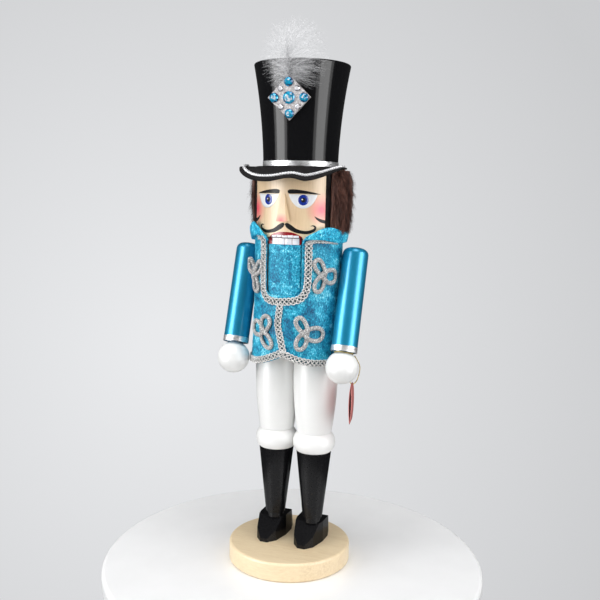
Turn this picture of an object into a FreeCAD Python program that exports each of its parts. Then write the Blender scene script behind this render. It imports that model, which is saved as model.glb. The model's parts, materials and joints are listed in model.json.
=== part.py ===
import FreeCAD, Part
import math
import os
import Sketcher

# Standing toy-soldier nutcracker. +Z is up, -Y is the figure's front and +X its left hand side.
# The origin lies on the trunk's axis, in the plane of the round base's underside; the base and
# the shoes are glued a little to one side of that axis. All sizes are millimetres.

V = FreeCAD.Vector
doc = FreeCAD.newDocument("nutcracker")
sheet = doc.addObject("Spreadsheet::Sheet", "sizes")

SIZES = {
    "glue_gap": 0.02, "running_gap": 0.05,
    "base_radius": 54.9, "base_height": 17.2, "base_round": 2.4, "base_foot": 1.5,
    "base_x": -3.1, "base_y": -1.2,
    "leg_x": 18.1, "leg_y": 0.5, "centre_gap": 0.1,
    "shoe_top": 36.5, "toe_y": 19.0, "toe_half": 3.3, "toe_lip": 3.3, "ball_y": 12.0, "ball_half": 9.3,
    "instep_y": 2.6, "side_y": 4.0, "shoe_half": 12.8,
    "heel_side_y": 18.0, "heel_top_y": 18.5, "heel_foot_y": 29.0, "heel_half": 9.8,
    "neck_radius": 7.6, "boot_foot": 41.3, "ankle_radius": 8.9, "boot_top": 103.5, "boot_radius": 15.6,
    "knee_top": 121.0, "knee_rim": 15.6, "knee_swell": 0.66, "knee_edge": 1.2,
    "thigh_foot_radius": 15.3, "thigh_radius": 19.8, "thigh_wide_z": 174.0, "thigh_swell": 320.0,
    "hip_z": 198.0, "hip_round": 3.0,
    "ankle_dowel_radius": 3.5, "knee_dowel_radius": 5.0, "hip_dowel_radius": 5.0, "dowel_depth": 12.0,
    "torso_radius": 36.5, "neck_z": 289.0, "slot_half": 16.3, "slot_floor": 222.0,
    "pin_y": 14.0, "pin_z": 262.0, "pin_radius": 2.5, "pin_half": 33.0,
    "neck_dowel_x": 27.0, "neck_dowel_y": 12.0, "neck_dowel_radius": 3.5,
    "head_radius": 38.0, "head_top": 352.0, "mouth_z": 294.9,
    "nose_top": 331.0, "nose_foot": 308.5, "nose_depth": 5.5, "nose_half": 4.4, "nose_root_half": 6.2,
    "bridge_depth": 0.8, "bridge_half": 1.2, "bridge_root_half": 2.2, "nose_root": 3.0,
    "jaw_half": 15.2, "jaw_front_radius": 35.2, "jaw_foot": 244.6, "jaw_top": 293.8,
    "handle_back": 52.2, "handle_front": 45.2, "handle_foot": 193.0, "handle_half": 11.0,
    "handle_round": 3.9, "handle_neck": 236.0, "handle_shoulder": 240.0,
    "jaw_back_y": 8.0, "arm_under_y": 34.0, "arm_under_z": 249.5, "crook_y": 40.0, "crook_round": 5.2,
    "crook_z": 244.3, "elbow_z": 256.5, "elbow_y": 43.0, "elbow_top": 266.5, "elbow_round": 11.0,
    "arm_top_y": 24.0, "arm_top_z": 279.0, "step_y": 12.0, "step_z": 281.0, "jaw_top_y": 9.0,
    "plastron_half": 15.7, "plastron_radius": 36.6, "plastron_top": 288.7,
    "teeth_half": 12.4, "lower_teeth_foot": 290.0, "upper_teeth_top": 296.6,
    "fur_radius": 44.0, "fur_foot": 303.5, "fur_top": 345.0, "fur_half_angle": 117.0,
    "edge_strip": 0.85, "edge_from": 55.3, "edge_to": 62.8,
    "hat_turn": 5.0, "hat_foot": 354.4, "band_top": 358.6, "hat_foot_radius": 32.46,
    "hat_top": 440.0, "hat_top_radius": 41.28, "hat_flare": 500.0, "hat_round": 1.2,
    "band_radius": 32.85, "band_inner": 31.6, "hat_dowel_radius": 6.0,
    "felt": 1.8, "felt_z": 352.2, "visor_inner": 38.4,
    "visor_radius": 46.4, "visor_shift": 9.2, "visor_aside": 3.6, "visor_low": 340.5,
    "visor_rise": 11.9, "visor_rise_from": 19.0, "visor_rise_over": 68.0,
    "visor_bump": 3.0, "visor_bump_turn": 13.5, "visor_bump_left": 17.0, "visor_bump_right": 26.0,
    "cord_radius": 0.8,
    "cockade_z": 409.0, "cockade_reach": 18.4, "cockade_tilt": 7.5, "cockade_stand": 36.95,
    "plate": 1.6, "stone_height": 2.0, "big_stone": 5.2, "blue_stone": 4.0, "clear_stone": 2.5,
    "blue_reach": 12.7, "clear_reach": 7.3,
    "plume_x": 12.0, "plume_y": 48.8, "plume_z": 443.0,
    "plume_half_width": 29.0, "plume_half_depth": 7.0, "plume_half_height": 28.0,
    "cloth": 1.5, "vest_inner": 37.0, "vest_flare": 1.6, "vest_top": 288.8, "vest_waist": 245.0,
    "hem_z": 184.5, "hem_notch_z": 194.5, "hem_notch_half": 27.0,
    "opening_half": 16.8, "opening_foot": 246.2, "opening_round": 6.0, "back_slit_foot": 241.0,
    "braid": 1.5, "braid_width": 6.6, "braid_round": 12.0,
    "loop_radius": 5.6, "loop_hole": 2.1, "loop_reach": 7.6, "cord_over_braid": 0.6,
    "frog_upper_angle": 56.0, "frog_upper_z": 265.0, "frog_lower_angle": 36.0, "frog_lower_z": 215.0,
    "collar_foot": 288.9, "collar_top": 303.2, "collar_radius": 46.0, "collar_half_angle": 153.0,
    "shoulder_x": 50.5, "shoulder_y": 3.2, "shoulder_z": 274.4, "arm_swing": 17.6,
    "arm_radius": 11.15, "arm_above": 11.2, "arm_below": 78.7, "arm_round": 5.2,
    "cuff_height": 4.7, "cuff_radius": 11.3, "cuff_inner": 10.5,
    "hand_radius": 14.0, "hand_drop": 13.2, "peg_radius": 3.0, "peg_half": 9.0,
    "shoulder_dowel_radius": 4.0, "shoulder_bore_x": 20.5, "shoulder_dowel_out": 4.5,
    "sleeve_hole_radius": 5.0,
    "wrist_ring": 8.0, "elastic_radius": 0.6, "wrist_drop": 0.85,
    "tag_x": 4.5, "tag_y": 12.6, "tag_hang": 28.0, "tag_height": 34.0, "tag_width": 20.0,
    "tag_card": 0.8, "tag_twist": 107.0, "tag_tie": 0.7,
    "strand_x": 7.0, "strand_y": 9.2, "strand_drop": 3.5, "strand_bow": 8.0, "strand_back": 2.4,
}


class Size(float):
    """A length that remembers the spreadsheet expression it comes from."""

    def __new__(cls, value, text):
        size = super().__new__(cls, value)
        size.text = text
        return size

    def joined(self, other, sign, value):
        return Size(value, f"({self.text} {sign} {text_of(other)})")

    def __add__(self, other):
        return self.joined(other, "+", float(self) + float(other))

    def __sub__(self, other):
        return self.joined(other, "-", float(self) - float(other))

    def __mul__(self, other):
        return self.joined(other, "*", float(self) * float(other))

    def __truediv__(self, other):
        return self.joined(other, "/", float(self) / float(other))

    def __neg__(self):
        return Size(-float(self), f"(-1 * {self.text})")

    __radd__ = __add__
    __rmul__ = __mul__


def text_of(value):
    return value.text if isinstance(value, Size) else f"{float(value):.6g}"


class Sizes:
    """The sheet's cells, by alias."""

    def __init__(self):
        for row, (alias, value) in enumerate(SIZES.items(), start=1):
            sheet.set(f"A{row}", alias)
            sheet.set(f"B{row}", str(value))
            sheet.setAlias(f"B{row}", alias)
            setattr(self, alias, Size(value, f"sizes.{alias}"))


S = Sizes()
doc.recompute()


def sine(angle):
    return Size(math.sin(math.radians(angle)), f"sin({text_of(angle)} * 1 deg)")


def cosine(angle):
    return Size(math.cos(math.radians(angle)), f"cos({text_of(angle)} * 1 deg)")


# --- how a piece is drawn -------------------------------------------------------------------

def bind(item, path, value):
    item.setExpression(path, text_of(value))


def place(item, x=0, y=0, z=0, axis=None, angle=0):
    """Moves a piece; a turn about an axis comes before the move."""
    if axis:
        item.Placement.Rotation = FreeCAD.Rotation(V(*axis), float(angle))
        bind(item, ".Placement.Rotation.Angle", angle)
    for name, value in (("x", x), ("y", y), ("z", z)):
        bind(item, f".Placement.Base.{name}", value)
    return item


def new_body(label):
    item = doc.addObject("PartDesign::Body", label)
    item.Label = label
    item.AllowCompound = True
    return item


def new_sketch(owner, role, level=0):
    """A sketch on one of the body's own origin planes, moved along its normal by level."""
    item = owner.newObject("Sketcher::SketchObject", f"{owner.Name}_sketch")
    plane = next(feature for feature in owner.Origin.OriginFeatures if feature.Role == role)
    item.AttachmentSupport = [(plane, "")]
    item.MapMode = "FlatFace"
    item.AttachmentOffset = FreeCAD.Placement(V(0, 0, float(level)), FreeCAD.Rotation())
    bind(item, ".AttachmentOffset.Base.z", level)
    return item


def pin_point(item, edge, place_on_edge, x, y):
    for kind, value in (("DistanceX", x), ("DistanceY", y)):
        index = item.addConstraint(
            Sketcher.Constraint(kind, -1, 1, edge, place_on_edge, float(value)))
        if isinstance(value, Size):
            item.setExpression(f"Constraints[{index}]", value.text)


def edge_between(start, end, bulge):
    """A line, or an arc of radius |bulge| that swells to the right of travel when it is positive."""
    first, last = V(float(start[0]), float(start[1])), V(float(end[0]), float(end[1]))
    if not bulge:
        return Part.LineSegment(first, last)
    chord = last - first
    rise = abs(bulge) - math.sqrt(float(bulge) ** 2 - chord.Length ** 2 / 4)
    right = V(chord.y, -chord.x) / chord.Length
    return Part.Arc(first, (first + last) / 2 + right * math.copysign(rise, bulge), last)


def outline(owner, role, corners, level=0):
    """Closed outline, counter-clockwise; a corner is (x, y) or (x, y, radius of the next edge)."""
    item = new_sketch(owner, role, level)
    bulges = [corner[2] if len(corner) > 2 else 0 for corner in corners]
    # A sketch's arc always runs counter-clockwise, so a hollow edge starts at its second end.
    ends = [(2, 1) if bulge < 0 else (1, 2) for bulge in bulges]
    count = len(corners)
    for index, corner in enumerate(corners):
        item.addGeometry(edge_between(corner, corners[(index + 1) % count], bulges[index]))
    for index in range(count):
        after = (index + 1) % count
        item.addConstraint(
            Sketcher.Constraint("Coincident", index, ends[index][1], after, ends[after][0]))
    for index, corner in enumerate(corners):
        pin_point(item, index, ends[index][0], corner[0], corner[1])
        if bulges[index]:
            radius = abs(float(bulges[index]))
            number = item.addConstraint(Sketcher.Constraint("Radius", index, radius))
            if isinstance(bulges[index], Size):
                item.setExpression(f"Constraints[{number}]", f"abs({bulges[index].text})")
    return item


def circles(owner, role, rings, level=0):
    """One sketch of separate circles, each (x, y, radius)."""
    item = new_sketch(owner, role, level)
    for index, (x, y, radius) in enumerate(rings):
        item.addGeometry(Part.Circle(V(float(x), float(y)), V(0, 0, 1), float(radius)))
        pin_point(item, index, 3, x, y)
        size = item.addConstraint(Sketcher.Constraint("Radius", index, float(radius)))
        if isinstance(radius, Size):
            item.setExpression(f"Constraints[{size}]", radius.text)
    return item


def turned(label, corners, role="XZ_Plane", sweep=360):
    """A piece made on a lathe about Z, or a part turn that is centred on its sketch plane."""
    owner = new_body(label)
    profile = outline(owner, role, corners)
    turn = owner.newObject("PartDesign::Revolution", f"{label}_turn")
    turn.Profile = profile
    turn.ReferenceAxis = (profile, ["V_Axis"])
    turn.Midplane = float(sweep) < 360
    bind(turn, "Angle", sweep)
    return owner


def pad(owner, profile, length, both=False, taper=0, back=False):
    item = owner.newObject("PartDesign::Pad", f"{owner.Name}_pad")
    item.Profile = profile
    item.Midplane = both
    item.Reversed = back
    item.TaperAngle = taper
    bind(item, "Length", length)
    return item


def pocket(owner, profile, length, both=False, back=False):
    """Cuts against the sketch plane's normal, along it when back is true, or both ways."""
    doc.recompute()
    before = owner.Shape.Volume
    item = owner.newObject("PartDesign::Pocket", f"{owner.Name}_cut")
    item.Profile = profile
    item.Midplane = both
    item.Reversed = back
    bind(item, "Length", length)
    doc.recompute()
    if not owner.Shape.Volume < before - 1e-6:
        raise ValueError(f"{item.Name} cuts nothing")
    return item


def cylinder(label, radius, length):
    item = doc.addObject("Part::Cylinder", label)
    bind(item, "Radius", radius)
    bind(item, "Height", length)
    return item


def combined(kind, label, *items):
    """Part::Cut, Part::Common and Part::Fuse of two objects."""
    item = doc.addObject(kind, label)
    item.Base, item.Tool = items
    return item


def gathered(label, *items):
    """Separate solids that share one name."""
    item = doc.addObject("Part::Compound", label)
    item.Links = list(items)
    return item


def pair_x(reach):
    """The same thing on the figure's right and left."""
    return (-reach, reach)


# --- base, legs and torso -------------------------------------------------------------------

def make_base():
    base = turned("base_disc", [
        (0, 0), (S.base_radius - S.base_foot, 0), (S.base_radius, S.base_foot),
        (S.base_radius, S.base_height - S.base_round, S.base_round),
        (S.base_radius - S.base_round, S.base_height), (0, S.base_height)])
    bores = [(x - S.base_x, S.leg_y - S.base_y, S.ankle_dowel_radius + S.glue_gap)
             for x in pair_x(S.leg_x)]
    pocket(base, circles(base, "XY_Plane", bores, S.base_height), S.dowel_depth)
    return place(base, S.base_x, S.base_y)


def leg_dowels(label, radius, foot, top):
    """Two glued dowels, one in each leg."""
    pegs = []
    for side, x in zip(("right", "left"), pair_x(S.leg_x)):
        peg = cylinder(f"{label}_{side}", radius, top - foot)
        pegs.append(place(peg, x, S.leg_y, foot))
    return gathered(label, *pegs)


def leg_place(item, side):
    return place(item, S.leg_x * side, S.leg_y)


def bore(owner, radius, level, depth, up=False, x=0, y=0):
    pocket(owner, circles(owner, "XY_Plane", [(x, y, radius)], level), depth, back=up)


def make_shoe(label, side):
    """A block carved to a long instep slope, a blunt toe and a sloping heel."""
    shoe = new_body(label)
    right = [(S.toe_half, -S.toe_y), (S.ball_half, -S.ball_y), (S.shoe_half, S.side_y),
             (S.shoe_half, S.heel_side_y), (S.heel_half, S.heel_foot_y)]
    left = [(-x, y) for x, y in reversed(right)]
    plan = outline(shoe, "XY_Plane", right + left, S.base_height)
    pad(shoe, plan, S.shoe_top - S.base_height)
    over = S.shoe_top + 2
    toe = outline(shoe, "YZ_Plane", [
        (-S.toe_y - 5, S.base_height + S.toe_lip), (-S.toe_y, S.base_height + S.toe_lip),
        (-S.instep_y, S.shoe_top), (-S.instep_y, over), (-S.toe_y - 5, over)])
    pocket(shoe, toe, S.shoe_half * 3, both=True)
    heel = outline(shoe, "YZ_Plane", [
        (S.heel_top_y, S.shoe_top), (S.heel_foot_y, S.base_height), (S.heel_foot_y + 5, S.base_height),
        (S.heel_foot_y + 5, over), (S.heel_top_y, over)])
    pocket(shoe, heel, S.shoe_half * 3, both=True)
    bore(shoe, S.ankle_dowel_radius + S.glue_gap, S.shoe_top, S.shoe_top - S.base_height,
         x=-S.base_x, y=-S.base_y)
    return place(shoe, S.leg_x * side + S.base_x, S.leg_y + S.base_y)


def make_boot(label, side):
    """A tapered boot that stands on a narrow turned neck."""
    boot = turned(label, [
        (0, S.shoe_top), (S.neck_radius, S.shoe_top), (S.neck_radius, S.boot_foot),
        (S.ankle_radius, S.boot_foot), (S.boot_radius, S.boot_top - 1),
        (S.boot_radius - 1, S.boot_top), (0, S.boot_top)])
    bore(boot, S.ankle_dowel_radius + S.glue_gap, S.shoe_top, S.dowel_depth * 2, up=True)
    bore(boot, S.knee_dowel_radius + S.glue_gap, S.boot_top, S.dowel_depth)
    return leg_place(boot, side)


def flatten_inside(owner, side, low, high):
    """The two legs touch, so each has a narrow flat where it meets the other."""
    near = S.leg_x - S.centre_gap
    far = near + 6
    corners = [(near, low), (far, low), (far, high), (near, high)]
    if side > 0:
        corners = [(-far, low), (-near, low), (-near, high), (-far, high)]
    pocket(owner, outline(owner, "XZ_Plane", corners), S.thigh_radius * 2, both=True)


def make_knee_ring(label, side):
    ring = turned(label, [
        (0, S.boot_top), (S.knee_rim, S.boot_top, (S.knee_top - S.boot_top) * S.knee_swell),
        (S.knee_rim, S.knee_top - S.knee_edge), (S.knee_rim - S.knee_edge, S.knee_top), (0, S.knee_top)])
    flatten_inside(ring, side, S.boot_top, S.knee_top)
    bore(ring, S.knee_dowel_radius + S.glue_gap, S.knee_top, S.knee_top - S.boot_top)
    return leg_place(ring, side)


def make_thigh(label, side):
    thigh = turned(label, [
        (0, S.knee_top), (S.thigh_foot_radius, S.knee_top, S.thigh_swell),
        (S.thigh_radius, S.thigh_wide_z), (S.thigh_radius, S.hip_z - S.hip_round, S.hip_round),
        (S.thigh_radius - S.hip_round, S.hip_z), (0, S.hip_z)])
    flatten_inside(thigh, side, S.knee_top, S.hip_z)
    bore(thigh, S.knee_dowel_radius + S.glue_gap, S.knee_top, S.dowel_depth, up=True)
    bore(thigh, S.hip_dowel_radius + S.glue_gap, S.hip_z, S.dowel_depth)
    return leg_place(thigh, side)


def cross_bore(owner, y, z, radius, start, depth, back=False):
    """A round hole along X."""
    pocket(owner, circles(owner, "YZ_Plane", [(y, z, radius)], start), depth, back=back)


def make_torso():
    """The trunk is slotted from front to back for the jaw lever."""
    torso = turned("torso", [
        (0, S.hip_z), (S.torso_radius, S.hip_z), (S.torso_radius, S.neck_z), (0, S.neck_z)])
    slot = outline(torso, "XZ_Plane", [
        (-S.slot_half, S.slot_floor), (S.slot_half, S.slot_floor),
        (S.slot_half, S.neck_z), (-S.slot_half, S.neck_z)])
    pocket(torso, slot, S.torso_radius * 3, both=True)
    cross_bore(torso, S.pin_y, S.pin_z, S.pin_radius + S.glue_gap, S.torso_radius, S.torso_radius * 2)
    shoulder = S.shoulder_dowel_radius + S.running_gap
    depth = S.torso_radius - S.shoulder_bore_x
    cross_bore(torso, S.shoulder_y, S.shoulder_z, shoulder, S.torso_radius, depth)
    cross_bore(torso, S.shoulder_y, S.shoulder_z, shoulder, -S.torso_radius, depth, back=True)
    for x in pair_x(S.leg_x):
        bore(torso, S.hip_dowel_radius + S.glue_gap, S.hip_z, S.dowel_depth, up=True, x=x, y=S.leg_y)
    for x in pair_x(S.neck_dowel_x):
        bore(torso, S.neck_dowel_radius + S.glue_gap, S.neck_z, S.dowel_depth, x=x, y=-S.neck_dowel_y)
    return torso


def make_neck_dowels():
    pegs = []
    for side, x in zip(("right", "left"), pair_x(S.neck_dowel_x)):
        peg = cylinder(f"neck_dowel_{side}", S.neck_dowel_radius, S.dowel_depth * 2)
        pegs.append(place(peg, x, -S.neck_dowel_y, S.neck_z - S.dowel_depth))
    return gathered("neck_dowels", *pegs)


def make_jaw_pin():
    pin = cylinder("jaw_pin", S.pin_radius, S.pin_half * 2)
    return place(pin, -S.pin_half, S.pin_y, S.pin_z, (0, 1, 0), 90)


# --- head -----------------------------------------------------------------------------------

def make_head():
    head = turned("head", [
        (0, S.neck_z), (S.head_radius, S.neck_z), (S.head_radius, S.head_top), (0, S.head_top)])
    mouth = outline(head, "XZ_Plane", [
        (-S.slot_half, S.neck_z), (S.slot_half, S.neck_z),
        (S.slot_half, S.mouth_z), (-S.slot_half, S.mouth_z)])
    pocket(head, mouth, S.head_radius * 3, both=True)
    for x in pair_x(S.neck_dowel_x):
        bore(head, S.neck_dowel_radius + S.glue_gap, S.neck_z, S.dowel_depth, True, x, -S.neck_dowel_y)
    bore(head, S.hat_dowel_radius + S.glue_gap, S.head_top, S.dowel_depth)
    return head


def make_nose():
    """A glued wedge with a flat front that widens and stands out towards its foot."""
    wedge = new_body("nose_wedge")
    root = -S.head_radius + S.nose_root
    tip, bridge = -S.head_radius - S.nose_depth, -S.head_radius - S.bridge_depth
    foot = outline(wedge, "XY_Plane", [
        (-S.nose_half, tip), (S.nose_half, tip),
        (S.nose_root_half, root), (-S.nose_root_half, root)], S.nose_foot)
    top = outline(wedge, "XY_Plane", [
        (-S.bridge_half, bridge), (S.bridge_half, bridge),
        (S.bridge_root_half, root), (-S.bridge_root_half, root)], S.nose_top)
    loft = wedge.newObject("PartDesign::AdditiveLoft", "nose_loft")
    loft.Profile = foot
    loft.Sections = [top]
    face = place(cylinder("nose_seat", S.head_radius + S.glue_gap, S.nose_top), 0, 0, 5)
    return combined("Part::Cut", "nose", wedge, face)


def front_strip(label, inner, outer, half, low, high):
    """A thin curved piece on the front of a cylinder, between x = -half and x = half."""
    strip = new_body(label)
    near = Size(-math.sqrt(inner ** 2 - half ** 2), f"-sqrt({text_of(inner)} ^ 2 - {text_of(half)} ^ 2)")
    far = Size(-math.sqrt(outer ** 2 - half ** 2), f"-sqrt({text_of(outer)} ^ 2 - {text_of(half)} ^ 2)")
    plan = outline(strip, "XY_Plane", [
        (-half, far, outer), (half, far), (half, near, -inner), (-half, near)], low)
    pad(strip, plan, high - low)
    return strip


def make_teeth():
    return [
        front_strip("upper_teeth", S.head_radius + S.glue_gap, S.head_radius + 0.5,
                    S.teeth_half, S.mouth_z + S.glue_gap, S.upper_teeth_top),
        front_strip("lower_teeth", S.jaw_front_radius + S.glue_gap, S.plastron_radius,
                    S.teeth_half, S.lower_teeth_foot, S.jaw_top)]


def make_fur():
    return turned("fur_hair", [
        (S.head_radius + S.running_gap, S.fur_foot), (S.fur_radius - 2, S.fur_foot, 3),
        (S.fur_radius, S.fur_foot + 2), (S.fur_radius, S.fur_top - 3, 5),
        (S.fur_radius - 3, S.fur_top), (S.head_radius + S.running_gap, S.fur_top)],
        "YZ_Plane", S.fur_half_angle * 2)


def make_edge_strips():
    """Black strips that finish the front edges of the hair."""
    sweep = S.edge_to - S.edge_from
    middle = (S.edge_to + S.edge_from) / 2
    strips = []
    for name, turn_axis in (("left", (0, 0, 1)), ("right", (0, 0, -1))):
        inner = S.head_radius + S.running_gap
        strip = turned(f"edge_strip_{name}", [
            (-inner - S.edge_strip, S.fur_foot), (-inner, S.fur_foot),
            (-inner, S.head_top - 6), (-inner - S.edge_strip, S.head_top - 6)], "YZ_Plane", sweep)
        strips.append(place(strip, axis=turn_axis, angle=middle))
    return gathered("hair_edge_strips", *strips)


# --- hat ------------------------------------------------------------------------------------

def on_hat(item):
    """The hat is set a little round to the figure's left."""
    return place(item, axis=(0, 0, 1), angle=S.hat_turn)


def make_hat_body():
    hat = turned("hat_body", [
        (0, S.hat_foot), (S.band_inner - S.glue_gap, S.hat_foot),
        (S.band_inner - S.glue_gap, S.band_top), (S.hat_foot_radius, S.band_top, -S.hat_flare),
        (S.hat_top_radius, S.hat_top - S.hat_round, S.hat_round),
        (S.hat_top_radius - S.hat_round, S.hat_top), (0, S.hat_top)])
    bore(hat, S.hat_dowel_radius + S.glue_gap, S.hat_foot, S.dowel_depth, up=True)
    return on_hat(hat)


def ring(label, inner, outer, low, high):
    return turned(label, [(inner, low), (outer, low), (outer, high), (inner, high)])


def make_hat_dowel():
    foot = S.head_top - S.dowel_depth
    return place(cylinder("hat_dowel", S.hat_dowel_radius, S.hat_foot + S.dowel_depth - foot), 0, 0, foot)


def smooth_step(share):
    share = min(1.0, max(0.0, share))
    return 3 * share ** 2 - 2 * share ** 3


def visor_edge(turn):
    """Outer edge of the felt visor, at a turn from straight ahead, in degrees."""
    rise = smooth_step((abs(turn) - S.visor_rise_from) / S.visor_rise_over)
    away = turn - S.visor_bump_turn
    reach = S.visor_bump_left if away > 0 else S.visor_bump_right
    bump = math.cos(math.radians(90 * away / reach)) ** 2 if abs(away) < reach else 0.0
    angle = math.radians(turn)
    return V(S.visor_radius * math.sin(angle) - S.visor_aside,
             -S.visor_shift - S.visor_radius * math.cos(angle),
             S.visor_low + S.visor_rise * rise + S.visor_bump * bump)


def visor_root(turn):
    angle = math.radians(turn)
    return V(S.visor_inner * math.sin(angle), -S.visor_inner * math.cos(angle), S.felt_z)


def smooth_curve(points):
    curve = Part.BSplineCurve()
    curve.interpolate(points)
    return curve.toShape()


def make_visor():
    """A felt washer under the hat with a drooping, waved crescent in front."""
    turns = [step * 6.0 for step in range(-15, 16)]
    root = smooth_curve([visor_root(turn) for turn in turns])
    edge = smooth_curve([visor_edge(turn) for turn in turns])
    crescent = Part.makeRuledSurface(root, edge).extrude(V(0, 0, S.felt))
    washer = Part.makeCylinder(S.visor_inner + 0.4, S.felt, V(0, 0, S.felt_z))
    hole = Part.makeCylinder(S.hat_dowel_radius + S.running_gap, S.felt * 3, V(0, 0, S.felt_z - S.felt))
    visor = doc.addObject("Part::Feature", "hat_visor")
    visor.Shape = crescent.fuse(washer).cut(hole)
    return on_hat(visor)


def make_visor_cord():
    """A silver cord that lies on the felt just inside its edge."""
    lift = V(0, 0, S.felt + S.cord_radius * 1.6)
    points = []
    for step in range(-14, 15):
        root, edge = visor_root(step * 6.0), visor_edge(step * 6.0)
        points.append(root + (edge - root) * 0.8 + lift)
    spine = smooth_curve(points)
    start = spine.valueAt(spine.FirstParameter)
    end = Part.makeCircle(S.cord_radius, start, spine.tangentAt(spine.FirstParameter))
    cord = doc.addObject("Part::Feature", "visor_cord")
    cord.Shape = Part.Wire([spine]).makePipeShell([Part.Wire([end])], True, True)
    return on_hat(cord)


def tilted(item):
    """Leans a sketch of the hat's front so that it lies along the flare."""
    item.AttachmentOffset = FreeCAD.Placement(
        V(0, float(S.cockade_z), float(item.AttachmentOffset.Base.z)),
        FreeCAD.Rotation(V(1, 0, 0), float(S.cockade_tilt)))
    bind(item, ".AttachmentOffset.Base.y", S.cockade_z)
    bind(item, ".AttachmentOffset.Rotation.Angle", S.cockade_tilt)
    return item


def make_cockade_plate():
    plate = new_body("cockade_plate")
    reach = S.cockade_reach
    square = outline(plate, "XZ_Plane", [(-reach, 0), (0, -reach), (reach, 0), (0, reach)], S.cockade_stand)
    pad(plate, tilted(square), S.plate)
    return on_hat(plate)


def make_stones(label, rings):
    stones = new_body(label)
    seats = circles(stones, "XZ_Plane", rings, S.cockade_stand + S.plate + S.glue_gap)
    pad(stones, tilted(seats), S.stone_height, taper=-28)
    return on_hat(stones)


def make_cockade_stones():
    far, near = S.blue_reach, S.clear_reach
    blue = [(0, 0, S.big_stone)]
    blue += [(x, y, S.blue_stone) for x, y in ((-far, 0), (far, 0), (0, -far), (0, far))]
    clear = [(x, y, S.clear_stone) for x in pair_x(near) for y in pair_x(near)]
    return [make_stones("cockade_blue_stones", blue), make_stones("cockade_clear_stones", clear)]


def make_plume():
    """Envelope of the soft plume that fans out in front of the hat and over its top edge."""
    plume = doc.addObject("Part::Ellipsoid", "plume")
    bind(plume, "Radius1", S.plume_half_height)
    bind(plume, "Radius2", S.plume_half_width)
    bind(plume, "Radius3", S.plume_half_depth)
    return place(plume, S.plume_x, -S.plume_y, S.plume_z)


# --- clothes --------------------------------------------------------------------------------

def wrap(label, gap, thickness, low, high):
    """A sleeve that follows the vest: straight above the waist and flaring to the hem."""
    levels = [low, high]
    if low < S.vest_waist < high:
        levels = [low, S.vest_waist, high]
    wall = []
    for z in levels:
        flare = S.vest_flare * (S.vest_waist - z) / (S.vest_waist - S.hem_z) if z < S.vest_waist else 0
        wall.append((S.vest_inner + gap + flare, z))
    outside = [(radius + thickness, z) for radius, z in wall]
    return turned(label, [wall[0], *outside, *reversed(wall[1:])])


def opening_corners(half, foot, corner, top):
    return [(-half, foot + corner, corner), (corner - half, foot), (half - corner, foot, corner),
            (half, foot + corner), (half, top), (-half, top)]


def notch_corners(spread, rise):
    low = S.hem_z - 1
    return [(-S.hem_notch_half - spread, low), (S.hem_notch_half + spread, low), (0, S.hem_notch_z + rise)]


def make_vest():
    vest = wrap("vest", 0, S.cloth, S.hem_z, S.vest_top)
    reach = S.vest_inner + S.vest_flare + S.cloth + 5
    front = opening_corners(S.opening_half, S.opening_foot, S.opening_round, S.vest_top + 1)
    pocket(vest, outline(vest, "XZ_Plane", front), reach, back=True)
    pocket(vest, outline(vest, "XZ_Plane", notch_corners(0, 0)), reach, back=True)
    slit = [(-S.slot_half, S.back_slit_foot), (S.slot_half, S.back_slit_foot),
            (S.slot_half, S.vest_top + 1), (-S.slot_half, S.vest_top + 1)]
    pocket(vest, outline(vest, "XZ_Plane", slit), reach)
    sleeve_hole = circles(vest, "YZ_Plane", [(S.shoulder_y, S.shoulder_z, S.sleeve_hole_radius)])
    pocket(vest, sleeve_hole, reach * 2, both=True)
    return vest


def make_vest_braid():
    """Braid round the jaw opening, down the front and along the cut-away hem."""
    gap, reach = S.cloth + S.glue_gap, S.vest_inner + S.vest_flare + S.cloth + 5
    pattern = new_body("braid_pattern")
    rim = opening_corners(S.opening_half + S.braid_width, S.opening_foot - S.braid_width,
                          S.braid_round, S.vest_top)
    pad(pattern, outline(pattern, "XZ_Plane", rim), reach)
    half = S.braid_width / 2
    stripe = [(-half, S.hem_notch_z), (half, S.hem_notch_z),
              (half, S.opening_foot), (-half, S.opening_foot)]
    pad(pattern, outline(pattern, "XZ_Plane", stripe), reach)
    pad(pattern, outline(pattern, "XZ_Plane", notch_corners(S.braid_width, S.braid_width * 1.2)), reach)
    front = opening_corners(S.opening_half, S.opening_foot, S.opening_round, S.vest_top + 1)
    pocket(pattern, outline(pattern, "XZ_Plane", front), reach, back=True)
    facing = combined("Part::Common", "braid_facing", pattern,
                      wrap("braid_sleeve", gap, S.braid, S.hem_z, S.vest_top))
    hem = wrap("braid_hem", gap, S.braid, S.hem_z, S.hem_z + S.braid_width)
    whole = combined("Part::Fuse", "braid_whole", facing, hem)
    notch = new_body("braid_notch")
    pad(notch, outline(notch, "XZ_Plane", notch_corners(0, 0)), reach)
    return combined("Part::Cut", "vest_braid", whole, notch)


def make_frog(label, side, angle, z):
    """A three-looped knot of cord, laid on the vest and pointing outward."""
    knot = new_body(f"{label}_knot")
    reach = S.loop_reach * side
    pad(knot, circles(knot, "XZ_Plane", [(reach, 0, S.loop_radius), (reach, 0, S.loop_hole)]),
        S.vest_inner + S.vest_flare + 10)
    loops = knot.newObject("PartDesign::PolarPattern", f"{label}_loops")
    loops.Originals = [knot.Tip]
    loops.Axis = (knot.Tip.Profile[0], ["N_Axis"])
    loops.Angle = 360
    loops.Occurrences = 3
    knot.Tip = loops
    place(knot, 0, 0, z, (0, 0, side), angle)
    sleeve = wrap(f"{label}_sleeve", S.cloth + S.glue_gap, S.braid + S.cord_over_braid, z - 20, z + 20)
    return combined("Part::Common", label, knot, sleeve)


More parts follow.
